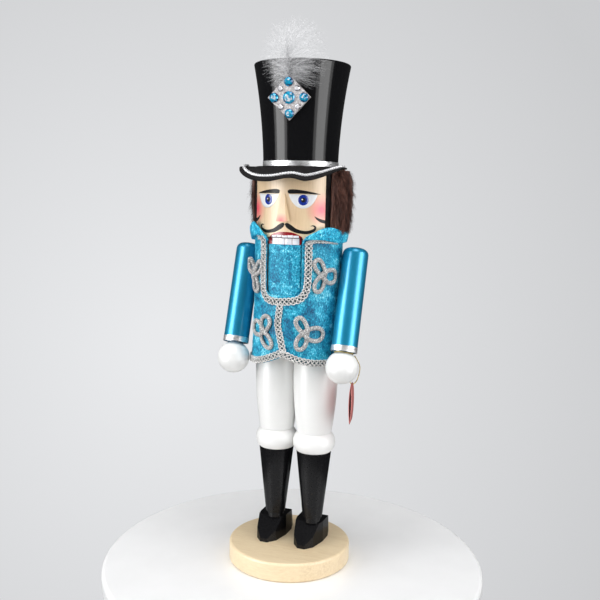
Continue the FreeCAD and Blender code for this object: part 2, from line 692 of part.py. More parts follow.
def make_frogs():
    rows = (("upper", S.frog_upper_angle, S.frog_upper_z), ("lower", S.frog_lower_angle, S.frog_lower_z))
    return [make_frog(f"frog_{row}_{name}", side, angle, z)
            for row, angle, z in rows for name, side in (("left", 1), ("right", -1))]


def make_collar():
    """Turned-over velvet collar, open in front of the jaw."""
    outer = S.collar_radius
    return turned("collar", [
        (S.vest_inner + S.cloth + 0.7, S.collar_foot + 0.3), (outer - 1.6, S.collar_foot - 0.4, 4),
        (outer, S.collar_foot + 2), (outer - 0.4, S.collar_top - 2, 3), (outer - 2.4, S.collar_top)],
        "YZ_Plane", S.collar_half_angle * 2)


# --- jaw ------------------------------------------------------------------------------------

def make_jaw_lever():
    """One board: the jaw in front, a pivot bore, and a handle that hangs down the back."""
    lever = new_body("jaw_lever")
    back, front, foot = S.handle_back, S.handle_front, S.handle_foot
    side_view = outline(lever, "YZ_Plane", [
        (-S.torso_radius, S.jaw_foot), (S.jaw_back_y, S.jaw_foot), (S.arm_under_y, S.arm_under_z),
        (S.crook_y, S.arm_under_z, -S.crook_round), (front, S.crook_z), (front, foot, S.handle_round),
        (back, foot), (back, S.elbow_z, S.elbow_round), (S.elbow_y, S.elbow_top),
        (S.arm_top_y, S.arm_top_z), (S.step_y, S.step_z), (S.jaw_top_y, S.jaw_top),
        (-S.torso_radius, S.jaw_top)])
    pad(lever, side_view, S.jaw_half * 2, both=True)
    shoulder = math.sqrt(S.jaw_front_radius ** 2 - S.jaw_half ** 2)
    nose_cut = outline(lever, "XY_Plane", [
        (-S.jaw_half - 1, -S.torso_radius - 2), (S.jaw_half + 1, -S.torso_radius - 2),
        (S.jaw_half + 1, -shoulder), (S.jaw_half, -shoulder, -S.jaw_front_radius),
        (-S.jaw_half, -shoulder), (-S.jaw_half - 1, -shoulder)], S.jaw_top + 1)
    pocket(lever, nose_cut, S.jaw_top - S.jaw_foot + 2)
    for side in (-1, 1):
        near, far, below = S.handle_half * side, (S.jaw_half + 1) * side, foot - 5
        corners = [(near, below), (far, below), (far, S.handle_shoulder), (near, S.handle_neck)]
        if side < 0:
            corners = [(far, below), (near, below), (near, S.handle_neck), (far, S.handle_shoulder)]
        pocket(lever, outline(lever, "XZ_Plane", corners), back + 2)
    cross_bore(lever, S.pin_y, S.pin_z, S.pin_radius + S.running_gap, S.jaw_half + 1, S.jaw_half * 3)
    return lever


def make_plastron():
    return front_strip("jaw_plastron", S.jaw_front_radius + S.glue_gap, S.plastron_radius,
                       S.plastron_half, S.jaw_foot, S.plastron_top)


# --- arms and tag ---------------------------------------------------------------------------

def arm_place(item, side):
    """Arm pieces are drawn hanging from the shoulder pivot, then swung forward."""
    return place(item, S.shoulder_x * side, S.shoulder_y, S.shoulder_z, (-1, 0, 0), S.arm_swing)


def make_arm(label, side):
    arm = turned(label, [
        (0, -S.arm_below), (S.cuff_inner - S.glue_gap, -S.arm_below),
        (S.cuff_inner - S.glue_gap, S.cuff_height - S.arm_below),
        (S.arm_radius, S.cuff_height - S.arm_below),
        (S.arm_radius, S.arm_above - S.arm_round, S.arm_round),
        (S.arm_radius - S.arm_round, S.arm_above), (0, S.arm_above)])
    bore(arm, S.peg_radius + S.glue_gap, -S.arm_below, S.peg_half, up=True)
    inner = S.arm_radius + 1
    cross_bore(arm, 0, 0, S.shoulder_dowel_radius + S.glue_gap, inner * -side, inner + 5, back=side > 0)
    return arm_place(arm, side)


def make_cuff_band(label, side):
    band = ring(label, S.cuff_inner, S.cuff_radius, -S.arm_below, S.cuff_height - S.arm_below - S.glue_gap)
    return arm_place(band, side)


def make_hand(label, side):
    centre = -S.arm_below - S.hand_drop
    seat = math.sqrt(S.hand_radius ** 2 - S.hand_drop ** 2)
    level = -S.arm_below - S.glue_gap
    hand = turned(label, [
        (0, centre - S.hand_radius, S.hand_radius), (S.hand_radius, centre, S.hand_radius),
        (seat, level), (0, level)])
    bore(hand, S.peg_radius + S.glue_gap, level, S.peg_half)
    return arm_place(hand, side)


def make_hand_peg(label, side):
    length = S.peg_half * 2 - 1
    peg = cylinder(f"{label}_stick", S.peg_radius, length)
    place(peg, 0, 0, -S.arm_below - length / 2)
    return arm_place(gathered(label, peg), side)


def make_shoulder_dowel(label, side):
    """Glued in the arm; it turns in the torso."""
    tip = S.shoulder_bore_x + 0.5 - S.shoulder_x
    dowel = cylinder(f"{label}_stick", S.shoulder_dowel_radius, S.shoulder_dowel_out - tip)
    if side > 0:
        place(dowel, tip, 0, 0, (0, 1, 0), 90)
    else:
        place(dowel, -tip, 0, 0, (0, -1, 0), 90)
    return arm_place(gathered(label, dowel), side)


def make_wrist_elastic():
    loop = doc.addObject("Part::Torus", "wrist_elastic_loop")
    bind(loop, "Radius1", S.wrist_ring)
    bind(loop, "Radius2", S.elastic_radius)
    place(loop, 0, 0, -S.arm_below - S.wrist_drop)
    return arm_place(gathered("wrist_elastic", loop), 1)


def wrist_point():
    """Centre of the left wrist, where the tag's elastic hangs from."""
    drop = S.arm_below + S.wrist_drop
    return (S.shoulder_x, S.shoulder_y - drop * sine(S.arm_swing), S.shoulder_z - drop * cosine(S.arm_swing))


def make_tag_elastic():
    """Two strands that drop behind the hand and meet at the tag."""
    x, y, z = wrist_point()
    strands = []
    for side in (-1, 1):
        top = V(x + side * S.strand_x, y + S.strand_y, z - S.strand_drop)
        middle = V(x + side * S.strand_bow + S.tag_x / 2, y + S.tag_y + S.strand_back,
                   z - S.tag_hang / 2)
        foot = V(x + S.tag_x + side * S.tag_tie, y + S.tag_y, z - S.tag_hang + S.tag_tie)
        spine = smooth_curve([top, middle, foot])
        end = Part.makeCircle(S.elastic_radius, top, spine.tangentAt(spine.FirstParameter))
        strands.append(Part.Wire([spine]).makePipeShell([Part.Wire([end])], True, True))
    cord = doc.addObject("Part::Feature", "tag_elastic")
    cord.Shape = strands[0].fuse(strands[1])
    return cord


def make_hang_tag():
    """A blank folded card that hangs edge-on to the viewer."""
    card = doc.addObject("Part::Box", "hang_tag")
    bind(card, "Length", S.tag_width)
    bind(card, "Width", S.tag_card)
    bind(card, "Height", S.tag_height)
    x, y, z = wrist_point()
    half = S.tag_width / 2
    return place(card, x + S.tag_x + half * cosine(S.tag_twist) * -1,
                 y + S.tag_y - half * sine(S.tag_twist), z - S.tag_hang - S.tag_height - 0.3,
                 (0, 0, 1), S.tag_twist)


# --- the whole figure -----------------------------------------------------------------------

def make_legs():
    pieces = [
        leg_dowels("ankle_dowels", S.ankle_dowel_radius, S.base_height - S.dowel_depth + 0.5,
                   S.shoe_top + S.dowel_depth * 2 - 0.5),
        leg_dowels("knee_dowels", S.knee_dowel_radius, S.boot_top - S.dowel_depth + 0.5,
                   S.knee_top + S.dowel_depth - 0.5),
        leg_dowels("hip_dowels", S.hip_dowel_radius, S.hip_z - S.dowel_depth + 0.5,
                   S.hip_z + S.dowel_depth - 0.5)]
    for name, side in (("left", 1), ("right", -1)):
        pieces += [make_shoe(f"{name}_shoe", side), make_boot(f"{name}_boot", side),
                   make_knee_ring(f"{name}_knee_ring", side), make_thigh(f"{name}_thigh", side)]
    return pieces


def make_arms():
    pieces = []
    for name, side in (("left", 1), ("right", -1)):
        pieces += [
            make_arm(f"{name}_arm", side), make_cuff_band(f"{name}_cuff_band", side),
            make_hand(f"{name}_hand", side), make_hand_peg(f"{name}_hand_peg", side),
            make_shoulder_dowel(f"{name}_shoulder_dowel", side)]
    return pieces + [make_wrist_elastic(), make_tag_elastic(), make_hang_tag()]


def make_hat():
    band = ring("hat_band", S.band_inner, S.band_radius, S.hat_foot, S.band_top - S.glue_gap)
    return [make_hat_body(), on_hat(band), make_hat_dowel(), make_visor(), make_visor_cord(),
            make_cockade_plate(), *make_cockade_stones(), make_plume()]


def check_and_write(pieces):
    doc.recompute()
    for item in doc.Objects:
        if {"Invalid", "Error"} & set(item.State):
            raise ValueError(f"{item.Name} is {item.State}")
    os.makedirs("parts", exist_ok=True)
    for piece in pieces:
        shape = piece.Shape
        if shape.isNull() or not shape.isValid() or not shape.Solids:
            raise ValueError(f"{piece.Label} has no valid solid")
    for piece in pieces:
        piece.Shape.exportStep(f"parts/{piece.Label}.step")


figure = [
    make_base(), *make_legs(), make_torso(), make_neck_dowels(), make_jaw_pin(),
    make_head(), make_nose(), *make_teeth(), make_fur(), make_edge_strips(), *make_hat(),
    make_vest(), make_vest_braid(), *make_frogs(), make_collar(),
    make_jaw_lever(), make_plastron(), *make_arms()]
check_and_write(figure)
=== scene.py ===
import json
import math
import random

import bmesh
import bpy
from mathutils import Matrix, Vector, noise


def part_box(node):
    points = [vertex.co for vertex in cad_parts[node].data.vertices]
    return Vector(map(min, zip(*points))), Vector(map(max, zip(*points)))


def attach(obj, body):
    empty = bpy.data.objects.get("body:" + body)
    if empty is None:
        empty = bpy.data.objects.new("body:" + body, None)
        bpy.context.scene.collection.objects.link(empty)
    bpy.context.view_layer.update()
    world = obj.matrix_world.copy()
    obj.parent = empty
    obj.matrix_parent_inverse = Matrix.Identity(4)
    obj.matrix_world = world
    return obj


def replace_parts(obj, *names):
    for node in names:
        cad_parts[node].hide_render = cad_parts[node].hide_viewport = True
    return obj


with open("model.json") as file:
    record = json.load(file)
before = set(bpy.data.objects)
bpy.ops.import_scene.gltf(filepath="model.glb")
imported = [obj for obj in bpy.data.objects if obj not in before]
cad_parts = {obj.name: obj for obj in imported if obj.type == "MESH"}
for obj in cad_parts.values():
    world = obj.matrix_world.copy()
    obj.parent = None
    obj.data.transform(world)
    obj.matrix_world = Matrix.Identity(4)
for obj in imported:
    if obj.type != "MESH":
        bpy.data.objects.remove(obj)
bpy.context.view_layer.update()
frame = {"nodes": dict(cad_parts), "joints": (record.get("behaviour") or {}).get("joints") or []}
nodes = frame["nodes"]
random.seed(11)

MM = 0.001


# --- places and sizes, read from the frame --------------------------------------------------

def low(node):
    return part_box(node)[0]


def high(node):
    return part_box(node)[1]


HEAD_R = high("head").x
HEAD_TOP = high("head").z
NECK_Z = low("head").z
MOUTH_Z = low("upper_teeth").z
TORSO_R = high("torso").x
VEST_TOP = high("vest").z
HEM_Z = low("vest").z
HEM_R = high("vest").y
VEST_R = TORSO_R + 2 * MM
WAIST_Z = HEM_Z + 60.5 * MM
SLIT_Z = HEM_Z + 56.5 * MM
SLOT_X = 16.3 * MM
PLASTRON_R = -low("jaw_plastron").y
FUR_R = high("fur_hair").x
HAT_TURN = math.radians(5)
SHOULDER = next(j for j in frame["joints"] if j["name"] == "left_shoulder")["pos_m"]
WRIST = next(j for j in frame["joints"] if j["name"] == "tag_swing")["pos_m"]


def on_round(radius, turn, z):
    """A point on a cylinder about Z; turn is 0 at the figure's front and grows to its left."""
    return Vector((radius * math.sin(turn), -radius * math.cos(turn), z))


def smooth_step(value):
    value = min(1.0, max(0.0, value))
    return value * value * (3 - 2 * value)


def mix(start, end, share):
    return start + (end - start) * share


# --- mesh tools -----------------------------------------------------------------------------

def piece(name, verts, faces, body, skin, smooth=True):
    mesh = bpy.data.meshes.new(name)
    mesh.from_pydata([tuple(v) for v in verts], [], faces)
    mesh.validate()
    item = bpy.data.objects.new(name, mesh)
    bpy.context.scene.collection.objects.link(item)
    mesh.materials.append(skin)
    mesh.shade_smooth() if smooth else mesh.shade_flat()
    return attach(item, body)


def recalculate(item):
    work = bmesh.new()
    work.from_mesh(item.data)
    bmesh.ops.recalc_face_normals(work, faces=work.faces)
    work.to_mesh(item.data)
    work.free()
    return item


def modifier(item, kind, **settings):
    made = item.modifiers.new(kind.title(), kind)
    for name, value in settings.items():
        setattr(made, name, value)
    return made


def softened(item, width, segments=2, angle=35):
    """Rounds sharp edges a little and keeps flat faces flat."""
    modifier(item, "BEVEL", width=width, segments=segments, limit_method="ANGLE",
             angle_limit=math.radians(angle), harden_normals=True)
    return item


def grid_faces(rows, columns, closed_rows=False, closed_columns=False, offset=0):
    faces = []
    for r in range(rows if closed_rows else rows - 1):
        for c in range(columns if closed_columns else columns - 1):
            a, b = r * columns + c, r * columns + (c + 1) % columns
            d, e = ((r + 1) % rows) * columns + c, ((r + 1) % rows) * columns + (c + 1) % columns
            faces.append((offset + a, offset + b, offset + e, offset + d))
    return faces


class Parts:
    """Collects separate shells into one mesh."""

    def __init__(self):
        self.verts, self.faces = [], []

    def grid(self, points, closed_rows=False, closed_columns=False):
        rows, columns, offset = len(points), len(points[0]), len(self.verts)
        for row in points:
            self.verts.extend(row)
        self.faces += grid_faces(rows, columns, closed_rows, closed_columns, offset)
        return offset

    def tube(self, path, radius, sides=6, closed=False):
        """A round bar along a path; radius is one number or a function of the share of the path."""
        count, rings = len(path), []
        normal = None
        for index, point in enumerate(path):
            before = path[index - 1] if index or closed else path[index]
            after = path[(index + 1) % count] if index < count - 1 or closed else path[index]
            along = (after - before).normalized()
            if normal is None:
                normal = along.orthogonal().normalized()
            normal = (normal - along * normal.dot(along)).normalized()
            across = along.cross(normal)
            size = radius(index / (count - 1)) if callable(radius) else radius
            rings.append([point + (normal * math.cos(a) + across * math.sin(a)) * size
                          for a in (2 * math.pi * side / sides for side in range(sides))])
        offset = self.grid(rings, closed_rows=closed, closed_columns=True)
        if not closed:
            last = offset + (count - 1) * sides
            self.faces.append(tuple(reversed(range(offset, offset + sides))))
            self.faces.append(tuple(range(last, last + sides)))

    def slab(self, top, bottom):
        """Two matching grids joined round their rims into a closed sheet."""
        rows, columns = len(top), len(top[0])
        first = self.grid(top)
        second = len(self.verts)
        for row in bottom:
            self.verts.extend(row)
        self.faces += [tuple(reversed(f)) for f in grid_faces(rows, columns, offset=second)]
        rim = [c for c in range(columns)]
        rim += [r * columns + columns - 1 for r in range(1, rows)]
        rim += [(rows - 1) * columns + c for c in reversed(range(columns - 1))]
        rim += [r * columns for r in reversed(range(1, rows - 1))]
        for here, there in zip(rim, rim[1:] + rim[:1]):
            self.faces.append((first + there, first + here, second + here, second + there))

    def build(self, name, body, skin, smooth=True):
        return recalculate(piece(name, self.verts, self.faces, body, skin, smooth))


def catmull(points, steps, closed=False):
    """A smooth curve through points (tuples or vectors of any size)."""
    points = [Vector(p) for p in points]
    count = len(points)
    made = []
    for index in range(count if closed else count - 1):
        if closed:
            a, b, c, d = (points[(index + k) % count] for k in (-1, 0, 1, 2))
        else:
            a, b = points[max(index - 1, 0)], points[index]
            c, d = points[index + 1], points[min(index + 2, count - 1)]
        for step in range(steps):
            u = step / steps
            made.append(0.5 * (2 * b + (c - a) * u + (2 * a - 5 * b + 4 * c - d) * u ** 2
                               + (3 * b - a - 3 * c + d) * u ** 3))
    if not closed:
        made.append(points[-1])
    return made


def evenly(path, spacing, closed=False):
    """The same path with points about spacing apart."""
    points = path + [path[0]] if closed else path
    lengths = [(b - a).length for a, b in zip(points, points[1:])]
    total = sum(lengths)
    count = max(2, round(total / spacing))
    made, index, passed = [], 0, 0.0
    for step in range(count if closed else count + 1):
        target = total * step / count
        while index < len(lengths) - 1 and passed + lengths[index] < target:
            passed += lengths[index]
            index += 1
        share = (target - passed) / max(lengths[index], 1e-9)
        made.append(points[index].lerp(points[index + 1], min(1.0, share)))
    return made


# --- material tools -------------------------------------------------------------------------

class Skin:
    """A node material being put together."""

    def __init__(self, name, **values):
        self.material = bpy.data.materials.new(name)
        self.material.use_nodes = True
        self.tree = self.material.node_tree
        self.shader = self.tree.nodes["Principled BSDF"]
        self.place = self.tree.nodes.new("ShaderNodeTexCoord").outputs["Object"]
        self.set(**values)

    def set(self, **values):
        for name, value in values.items():
            self.feed(self.shader.inputs[name.replace("_", " ")], value)

    def feed(self, socket, value):
        if isinstance(value, bpy.types.NodeSocket):
            self.tree.links.new(value, socket)
        elif socket.type == "RGBA":
            socket.default_value = (*value[:3], 1.0)
        else:
            socket.default_value = value

    def add(self, kind, settings=None, **values):
        made = self.tree.nodes.new(kind)
        for name, value in (settings or {}).items():
            setattr(made, name, value)
        for name, value in values.items():
            self.feed(made.inputs[name.replace("_", " ")], value)
        return made

    def stretched(self, scale, shift=(0, 0, 0)):
        return self.add("ShaderNodeMapping", Vector=self.place, Scale=scale, Location=shift).outputs[0]

    def noise(self, scale, stretch=(1, 1, 1), detail=4.0, rough=0.55, twist=0.0, shift=(0, 0, 0)):
        made = self.add("ShaderNodeTexNoise", Vector=self.stretched(stretch, shift), Scale=scale,
                        Detail=detail, Roughness=rough, Distortion=twist)
        return made.outputs["Fac"]

    def cells(self, scale, stretch=(1, 1, 1), feature="F1", out="Distance"):
        made = self.add("ShaderNodeTexVoronoi", {"feature": feature},
                        Vector=self.stretched(stretch), Scale=scale)
        return made.outputs[out]

    def waves(self, scale, stretch=(1, 1, 1), twist=0.0, axis="X"):
        made = self.add("ShaderNodeTexWave", {"bands_direction": axis},
                        Vector=self.stretched(stretch), Scale=scale, Distortion=twist, Detail=2.0)
        return made.outputs["Fac"]

    def ramp(self, value, *stops):
        made = self.add("ShaderNodeValToRGB", Fac=value)
        band = made.color_ramp
        while len(band.elements) < len(stops):
            band.elements.new(0.5)
        for element, (place, colour) in zip(band.elements, stops):
            element.position = place
            element.color = (*colour, 1.0) if len(colour) == 3 else colour
        return made.outputs["Color"]

    def spread(self, value, start, end, to_start=0.0, to_end=1.0):
        made = self.add("ShaderNodeMapRange", Value=value)
        for name, number in zip(("From Min", "From Max", "To Min", "To Max"),
                                (start, end, to_start, to_end)):
            made.inputs[name].default_value = number
        return made.outputs["Result"]

    def blend(self, share, first, second, kind="MIX"):
        made = self.add("ShaderNodeMix", {"data_type": "RGBA", "blend_type": kind})
        self.feed(made.inputs[0], share)
        self.feed(made.inputs[6], first)
        self.feed(made.inputs[7], second)
        return made.outputs[2]

    def sum(self, first, second, kind="ADD"):
        made = self.add("ShaderNodeMath", {"operation": kind})
        self.feed(made.inputs[0], first)
        self.feed(made.inputs[1], second)
        return made.outputs[0]

    def near(self, centre, reach):
        """1 at a point, falling to 0 at reach from it, in metres."""
        made = self.add("ShaderNodeVectorMath", {"operation": "DISTANCE"})
        self.feed(made.inputs[0], self.place)
        made.inputs[1].default_value = centre
        return self.spread(made.outputs["Value"], reach, 0.0)

    def height(self):
        return self.add("ShaderNodeSeparateXYZ", Vector=self.place).outputs["Z"]

    def bump(self, value, strength, depth=0.0004, under=None):
        made = self.add("ShaderNodeBump", Height=value, Strength=strength, Distance=depth)
        if under is not None:
            self.feed(made.inputs["Normal"], under)
        self.set(Normal=made.outputs["Normal"])
        return made.outputs["Normal"]


HAT_FRONT = Matrix.Rotation(HAT_TURN, 4, "Z")


def cockade_place():
    """Local frame of the cockade: x across, y up along the hat, z out of its face."""
    lean = Matrix.Rotation(math.radians(90 + 7.5), 4, "X")
    return HAT_FRONT @ Matrix.Translation((0, -37.1 * MM, 409 * MM)) @ lean


# --- materials ------------------------------------------------------------------------------

def wood_skin(name, pale, dark, grain=(90, 90, 5), rough=0.42, coat=0.15):
    """Straight-grained, sanded wood; grain is the density of its streaks along each axis."""
    skin = Skin(name, Roughness=rough, Coat_Weight=coat, Coat_Roughness=0.3)
    streak = skin.noise(1.0, stretch=tuple(g * 10 for g in grain), detail=6, rough=0.6, twist=0.4)
    broad = skin.noise(1.0, stretch=tuple(g * 1.4 for g in grain), detail=2)
    share = skin.sum(skin.spread(streak, 0.35, 0.75), skin.spread(broad, 0.3, 0.8), "MULTIPLY")
    colour = skin.blend(share, pale, dark)
    fleck = skin.noise(1.0, stretch=(grain[0] * 34, grain[1] * 34, grain[2] * 22), detail=2)
    colour = skin.blend(skin.spread(fleck, 0.62, 0.72, 0.0, 0.35), colour, dark)
    skin.set(Base_Color=colour)
    skin.bump(streak, 0.12, 0.0002)
    return skin


def base_skin():
    return wood_skin("pale_base_wood", (0.80, 0.65, 0.43), (0.62, 0.45, 0.26), grain=(9, 60, 60)).material


def face_skin():
    """Lacquered face wood with airbrushed cheeks."""
    skin = wood_skin("face_wood", (0.80, 0.60, 0.38), (0.60, 0.41, 0.23), rough=0.38, coat=0.3)
    colour = skin.shader.inputs["Base Color"].links[0].from_socket
    for side in (-1, 1):
        centre = on_round(HEAD_R, side * math.radians(50), 0.3185)
        share = skin.near(centre, 0.0150)
        soft = skin.sum(skin.sum(share, 1.15, "POWER"), 1.15, "MULTIPLY")
        colour = skin.blend(soft, colour, (0.90, 0.10, 0.15))
    skin.set(Base_Color=colour)
    return skin.material


def nose_skin():
    skin = wood_skin("nose_wood", (0.82, 0.62, 0.39), (0.62, 0.42, 0.24), rough=0.38, coat=0.3)
    colour = skin.shader.inputs["Base Color"].links[0].from_socket
    tip = Vector((0, low("nose").y, low("nose").z + 0.5 * MM))
    skin.set(Base_Color=skin.blend(skin.spread(skin.near(tip, 0.0075), 0.1, 0.9), colour, (0.88, 0.16, 0.17)))
    return skin.material


def gloss_skin(name, colour, rough=0.12, coat=1.0, ripple=0.05):
    """Sprayed lacquer over wood: a clear coat with faint unevenness."""
    skin = Skin(name, Base_Color=colour, Roughness=rough, Coat_Weight=coat, Coat_Roughness=0.04)
    skin.set(Roughness=skin.spread(skin.noise(160, detail=3), 0.3, 0.7, rough * 0.7, rough * 1.5))
    skin.bump(skin.noise(55, stretch=(1, 1, 0.35), detail=2), ripple, 0.0006)
    return skin


def black_skin(name="black_gloss_lacquer", coat=0.6, blur=0.09):
    skin = gloss_skin(name, (0.004, 0.004, 0.005), rough=0.3, coat=coat, ripple=0.03)
    skin.set(Specular_IOR_Level=0.0, Coat_Roughness=blur)
    dust = skin.noise(900, detail=2)
    skin.set(Base_Color=skin.ramp(dust, (0.0, (0.002, 0.002, 0.0025)), (1.0, (0.010, 0.010, 0.011))))
    return skin.material


def white_skin():
    skin = Skin("white_satin_lacquer", Coat_Weight=0.25, Coat_Roughness=0.12, Roughness=0.4)
    tone = skin.noise(25, detail=2)
    skin.set(Base_Color=skin.ramp(tone, (0.2, (0.83, 0.83, 0.815)), (0.8, (0.87, 0.87, 0.86))))
    return skin.material


def metallic_blue_skin():
    """Metallic turquoise lacquer: flakes under a clear coat."""
    skin = Skin("metallic_turquoise_lacquer", Metallic=0.55, Roughness=0.36, Coat_Weight=0.6,
                Coat_Roughness=0.1)
    flake = skin.cells(5200, out="Color")
    grey = skin.add("ShaderNodeRGBToBW", Color=flake).outputs[0]
    skin.set(Base_Color=skin.ramp(grey, (0.0, (0.002, 0.17, 0.32)), (0.8, (0.005, 0.28, 0.47)),
                                  (1.0, (0.05, 0.45, 0.66))))
    skin.set(Roughness=skin.spread(grey, 0.0, 1.0, 0.30, 0.44))
    skin.bump(grey, 0.08, 0.00005)
    return skin.material


def silver_skin(name="silver_foil", rough=0.16, scratch=220):
    skin = Skin(name, Base_Color=(0.86, 0.86, 0.87), Metallic=1.0, Roughness=rough)
    brushed = skin.noise(scratch, stretch=(1, 1, 14), detail=3)
    skin.set(Roughness=skin.spread(brushed, 0.3, 0.7, rough * 0.6, rough * 1.8))
    skin.bump(brushed, 0.08, 0.0001)
    return skin.material


def velvet_skin(name, shift=(0, 0, 0), light=1.0, pile=(1, 1, 0.5), patch=0.34):
    """Crushed velvet with painted sheen and shade: the pile lies different ways, so its colour is painted dark, mid
    or bright in patches; light scales the colours up for a lighter, painted-lit copy.
    """
    skin = Skin(name, Roughness=0.5, Sheen_Weight=0.3, Sheen_Roughness=0.25,
                Sheen_Tint=(0.35, 0.85, 1.0), Specular_IOR_Level=0.2)
    large = skin.noise(62, detail=2, twist=1.2, shift=shift)
    crush = skin.noise(260, detail=5, rough=0.7, twist=1.6, shift=shift)
    fine = skin.noise(1000, stretch=pile, detail=3, rough=0.75, shift=shift)
    pile_sheen = skin.sum(skin.sum(large, patch, "MULTIPLY"), skin.sum(crush, 0.66 - patch, "MULTIPLY"))
    pile_sheen = skin.sum(pile_sheen, skin.sum(fine, 0.44, "MULTIPLY"))
    # The tones run from painted shade to a painted near-white highlight.
    sheen_and_shade_tones = [(0.41, (0.001, 0.050, 0.12)), (0.49, (0.002, 0.160, 0.31)), (0.55, (0.006, 0.30, 0.48)),
             (0.61, (0.05, 0.54, 0.75)), (0.68, (0.45, 0.94, 1.0))]
    skin.set(Base_Color=skin.ramp(pile_sheen, *[(p, tuple(min(1.0, c * light) for c in t)) for p, t in sheen_and_shade_tones]))
    first = skin.bump(crush, 0.6, 0.0006)
    skin.bump(fine, 0.8, 0.0004, under=first)
    return skin.material


def felt_skin():
    skin = Skin("black_felt", Roughness=0.95, Specular_IOR_Level=0.1)
    fibre = skin.noise(1900, detail=4, rough=0.75)
    clump = skin.noise(300, detail=3)
    share = skin.sum(skin.sum(fibre, 0.6, "MULTIPLY"), skin.sum(clump, 0.4, "MULTIPLY"))
    skin.set(Base_Color=skin.ramp(share, (0.3, (0.003, 0.003, 0.004)), (0.7, (0.022, 0.020, 0.020))))
    skin.bump(fibre, 0.8, 0.0004)
    return skin.material


def thread_skin(name, dark, bright, metal=0.3, rough=0.42, grain=1100):
    """Silver or gold thread: bright filaments with painted shade in the gaps between them."""
    skin = Skin(name, Metallic=metal, Roughness=rough)
    filament = skin.noise(grain, detail=4, rough=0.8)
    # Low filament values give the painted shade of the gaps, high ones the bright filaments.
    skin.set(Base_Color=skin.ramp(filament, (0.40, dark), (0.58, bright)))
    skin.bump(filament, 0.7, 0.0003)
    return skin.material


def cord_skin():
    """Woven cord of the frogs: a fine basket of silver-grey yarn, painted light in the middle of each yarn and
    painted shade between them.
    """
    skin = Skin("silver_cord", Roughness=0.6, Metallic=0.1, Sheen_Weight=0.2)
    weave = skin.cells(900, feature="F1")
    yarn = skin.noise(1500, detail=4, rough=0.8)
    share = skin.sum(skin.spread(weave, 0.1, 0.7), skin.sum(yarn, 0.6, "MULTIPLY"))
    # Painted light at the centre of each woven cell, painted shade towards its rim.
    skin.set(Base_Color=skin.ramp(share, (0.35, (0.82, 0.81, 0.79)), (0.7, (0.56, 0.55, 0.54)),
                                  (1.05, (0.28, 0.275, 0.27))))
    skin.bump(weave, 0.9, 0.0005)
    return skin.material


def fur_skin():
    skin = Skin("brown_fur", Roughness=0.65, Sheen_Weight=0.04, Specular_IOR_Level=0.3)
    lock = skin.noise(230, stretch=(1, 1, 0.16), detail=4)
    hair = skin.noise(1500, stretch=(1, 1, 0.05), detail=3)
    share = skin.sum(skin.sum(lock, 0.6, "MULTIPLY"), skin.sum(hair, 0.4, "MULTIPLY"))
    skin.set(Base_Color=skin.ramp(share, (0.36, (0.018, 0.005, 0.003)), (0.52, (0.095, 0.032, 0.020)),
                                  (0.68, (0.26, 0.11, 0.07))))
    skin.bump(hair, 0.5, 0.0004)
    return skin.material


def feather_skin():
    """White down; the wisps let much of the light through, and a faint painted glow lightens them."""
    # The weak emission is a painted glow, not a lamp.
    skin = Skin("white_down", Roughness=0.8, Specular_IOR_Level=0.1, Emission_Color=(0.9, 0.92, 0.95),
                Emission_Strength=0.06, Alpha=0.27)
    tone = skin.noise(700, detail=3)
    skin.set(Base_Color=skin.ramp(tone, (0.3, (0.82, 0.82, 0.83)), (0.7, (0.97, 0.97, 0.98))))
    return skin.material


def paint_skin(name, colour, rough=0.25, depth=0.25, coat=0.5):
    """Brushed-on gloss paint with faint streaks."""
    skin = Skin(name, Roughness=rough, Coat_Weight=coat, Coat_Roughness=0.12,
                Specular_IOR_Level=coat)
    streak = skin.noise(500, stretch=(1, 1, 0.3), detail=3)
    darker = tuple(c * (1 - depth) for c in colour)
    skin.set(Base_Color=skin.ramp(streak, (0.3, darker), (0.65, colour)))
    skin.bump(streak, 0.15, 0.0001)
    return skin.material


def stone_skin(name, deep, bright):
    """Foil-backed cut glass with painted light: a painted dark reflection round the rim, coloured on the facets, a
    painted pale highlight on the table.
    """
    skin = Skin(name, Metallic=0.3, Roughness=0.12, Coat_Weight=1.0, Coat_Roughness=0.02)
    grey = skin.add("ShaderNodeRGBToBW", Color=skin.cells(620, out="Color")).outputs[0]
    # Faces turned out of the setting are painted lighter, steep ones darker: painted highlight and painted
    # reflection.
    facing = skin.add("ShaderNodeVectorMath", {"operation": "DOT_PRODUCT"})
    skin.feed(facing.inputs[0], skin.add("ShaderNodeNewGeometry").outputs["True Normal"])
    facing.inputs[1].default_value = cockade_place().to_3x3() @ Vector((0, 0, 1))
    level = skin.spread(facing.outputs["Value"], 0.45, 1.0, 0.0, 0.62)
    tone = skin.sum(level, skin.sum(grey, 0.62, "MULTIPLY"))
    pale = tuple(mix(c, 1.0, 0.85) for c in bright)
    skin.set(Base_Color=skin.ramp(tone, (0.48, deep), (0.66, bright), (0.95, bright), (1.02, pale)))
    return skin.material


def glitter_skin():
    """Dull silver setting with fine glitter."""
    skin = Skin("silver_glitter", Metallic=0.6, Roughness=0.45)
    grain = skin.add("ShaderNodeRGBToBW", Color=skin.cells(1500, out="Color")).outputs[0]
    skin.set(Base_Color=skin.ramp(grain, (0.2, (0.30, 0.28, 0.28)), (0.6, (0.44, 0.42, 0.42)),
                                  (0.9, (0.72, 0.70, 0.70))))
    skin.bump(grain, 0.5, 0.0003)
    return skin.material


def card_skin():
    skin = Skin("red_card", Roughness=0.5, Coat_Weight=0.25)
    pulp = skin.noise(1200, detail=4)
    skin.set(Base_Color=skin.ramp(pulp, (0.3, (0.50, 0.12, 0.11)), (0.7, (0.68, 0.22, 0.20))))
    skin.bump(pulp, 0.2, 0.0001)
    return skin.material


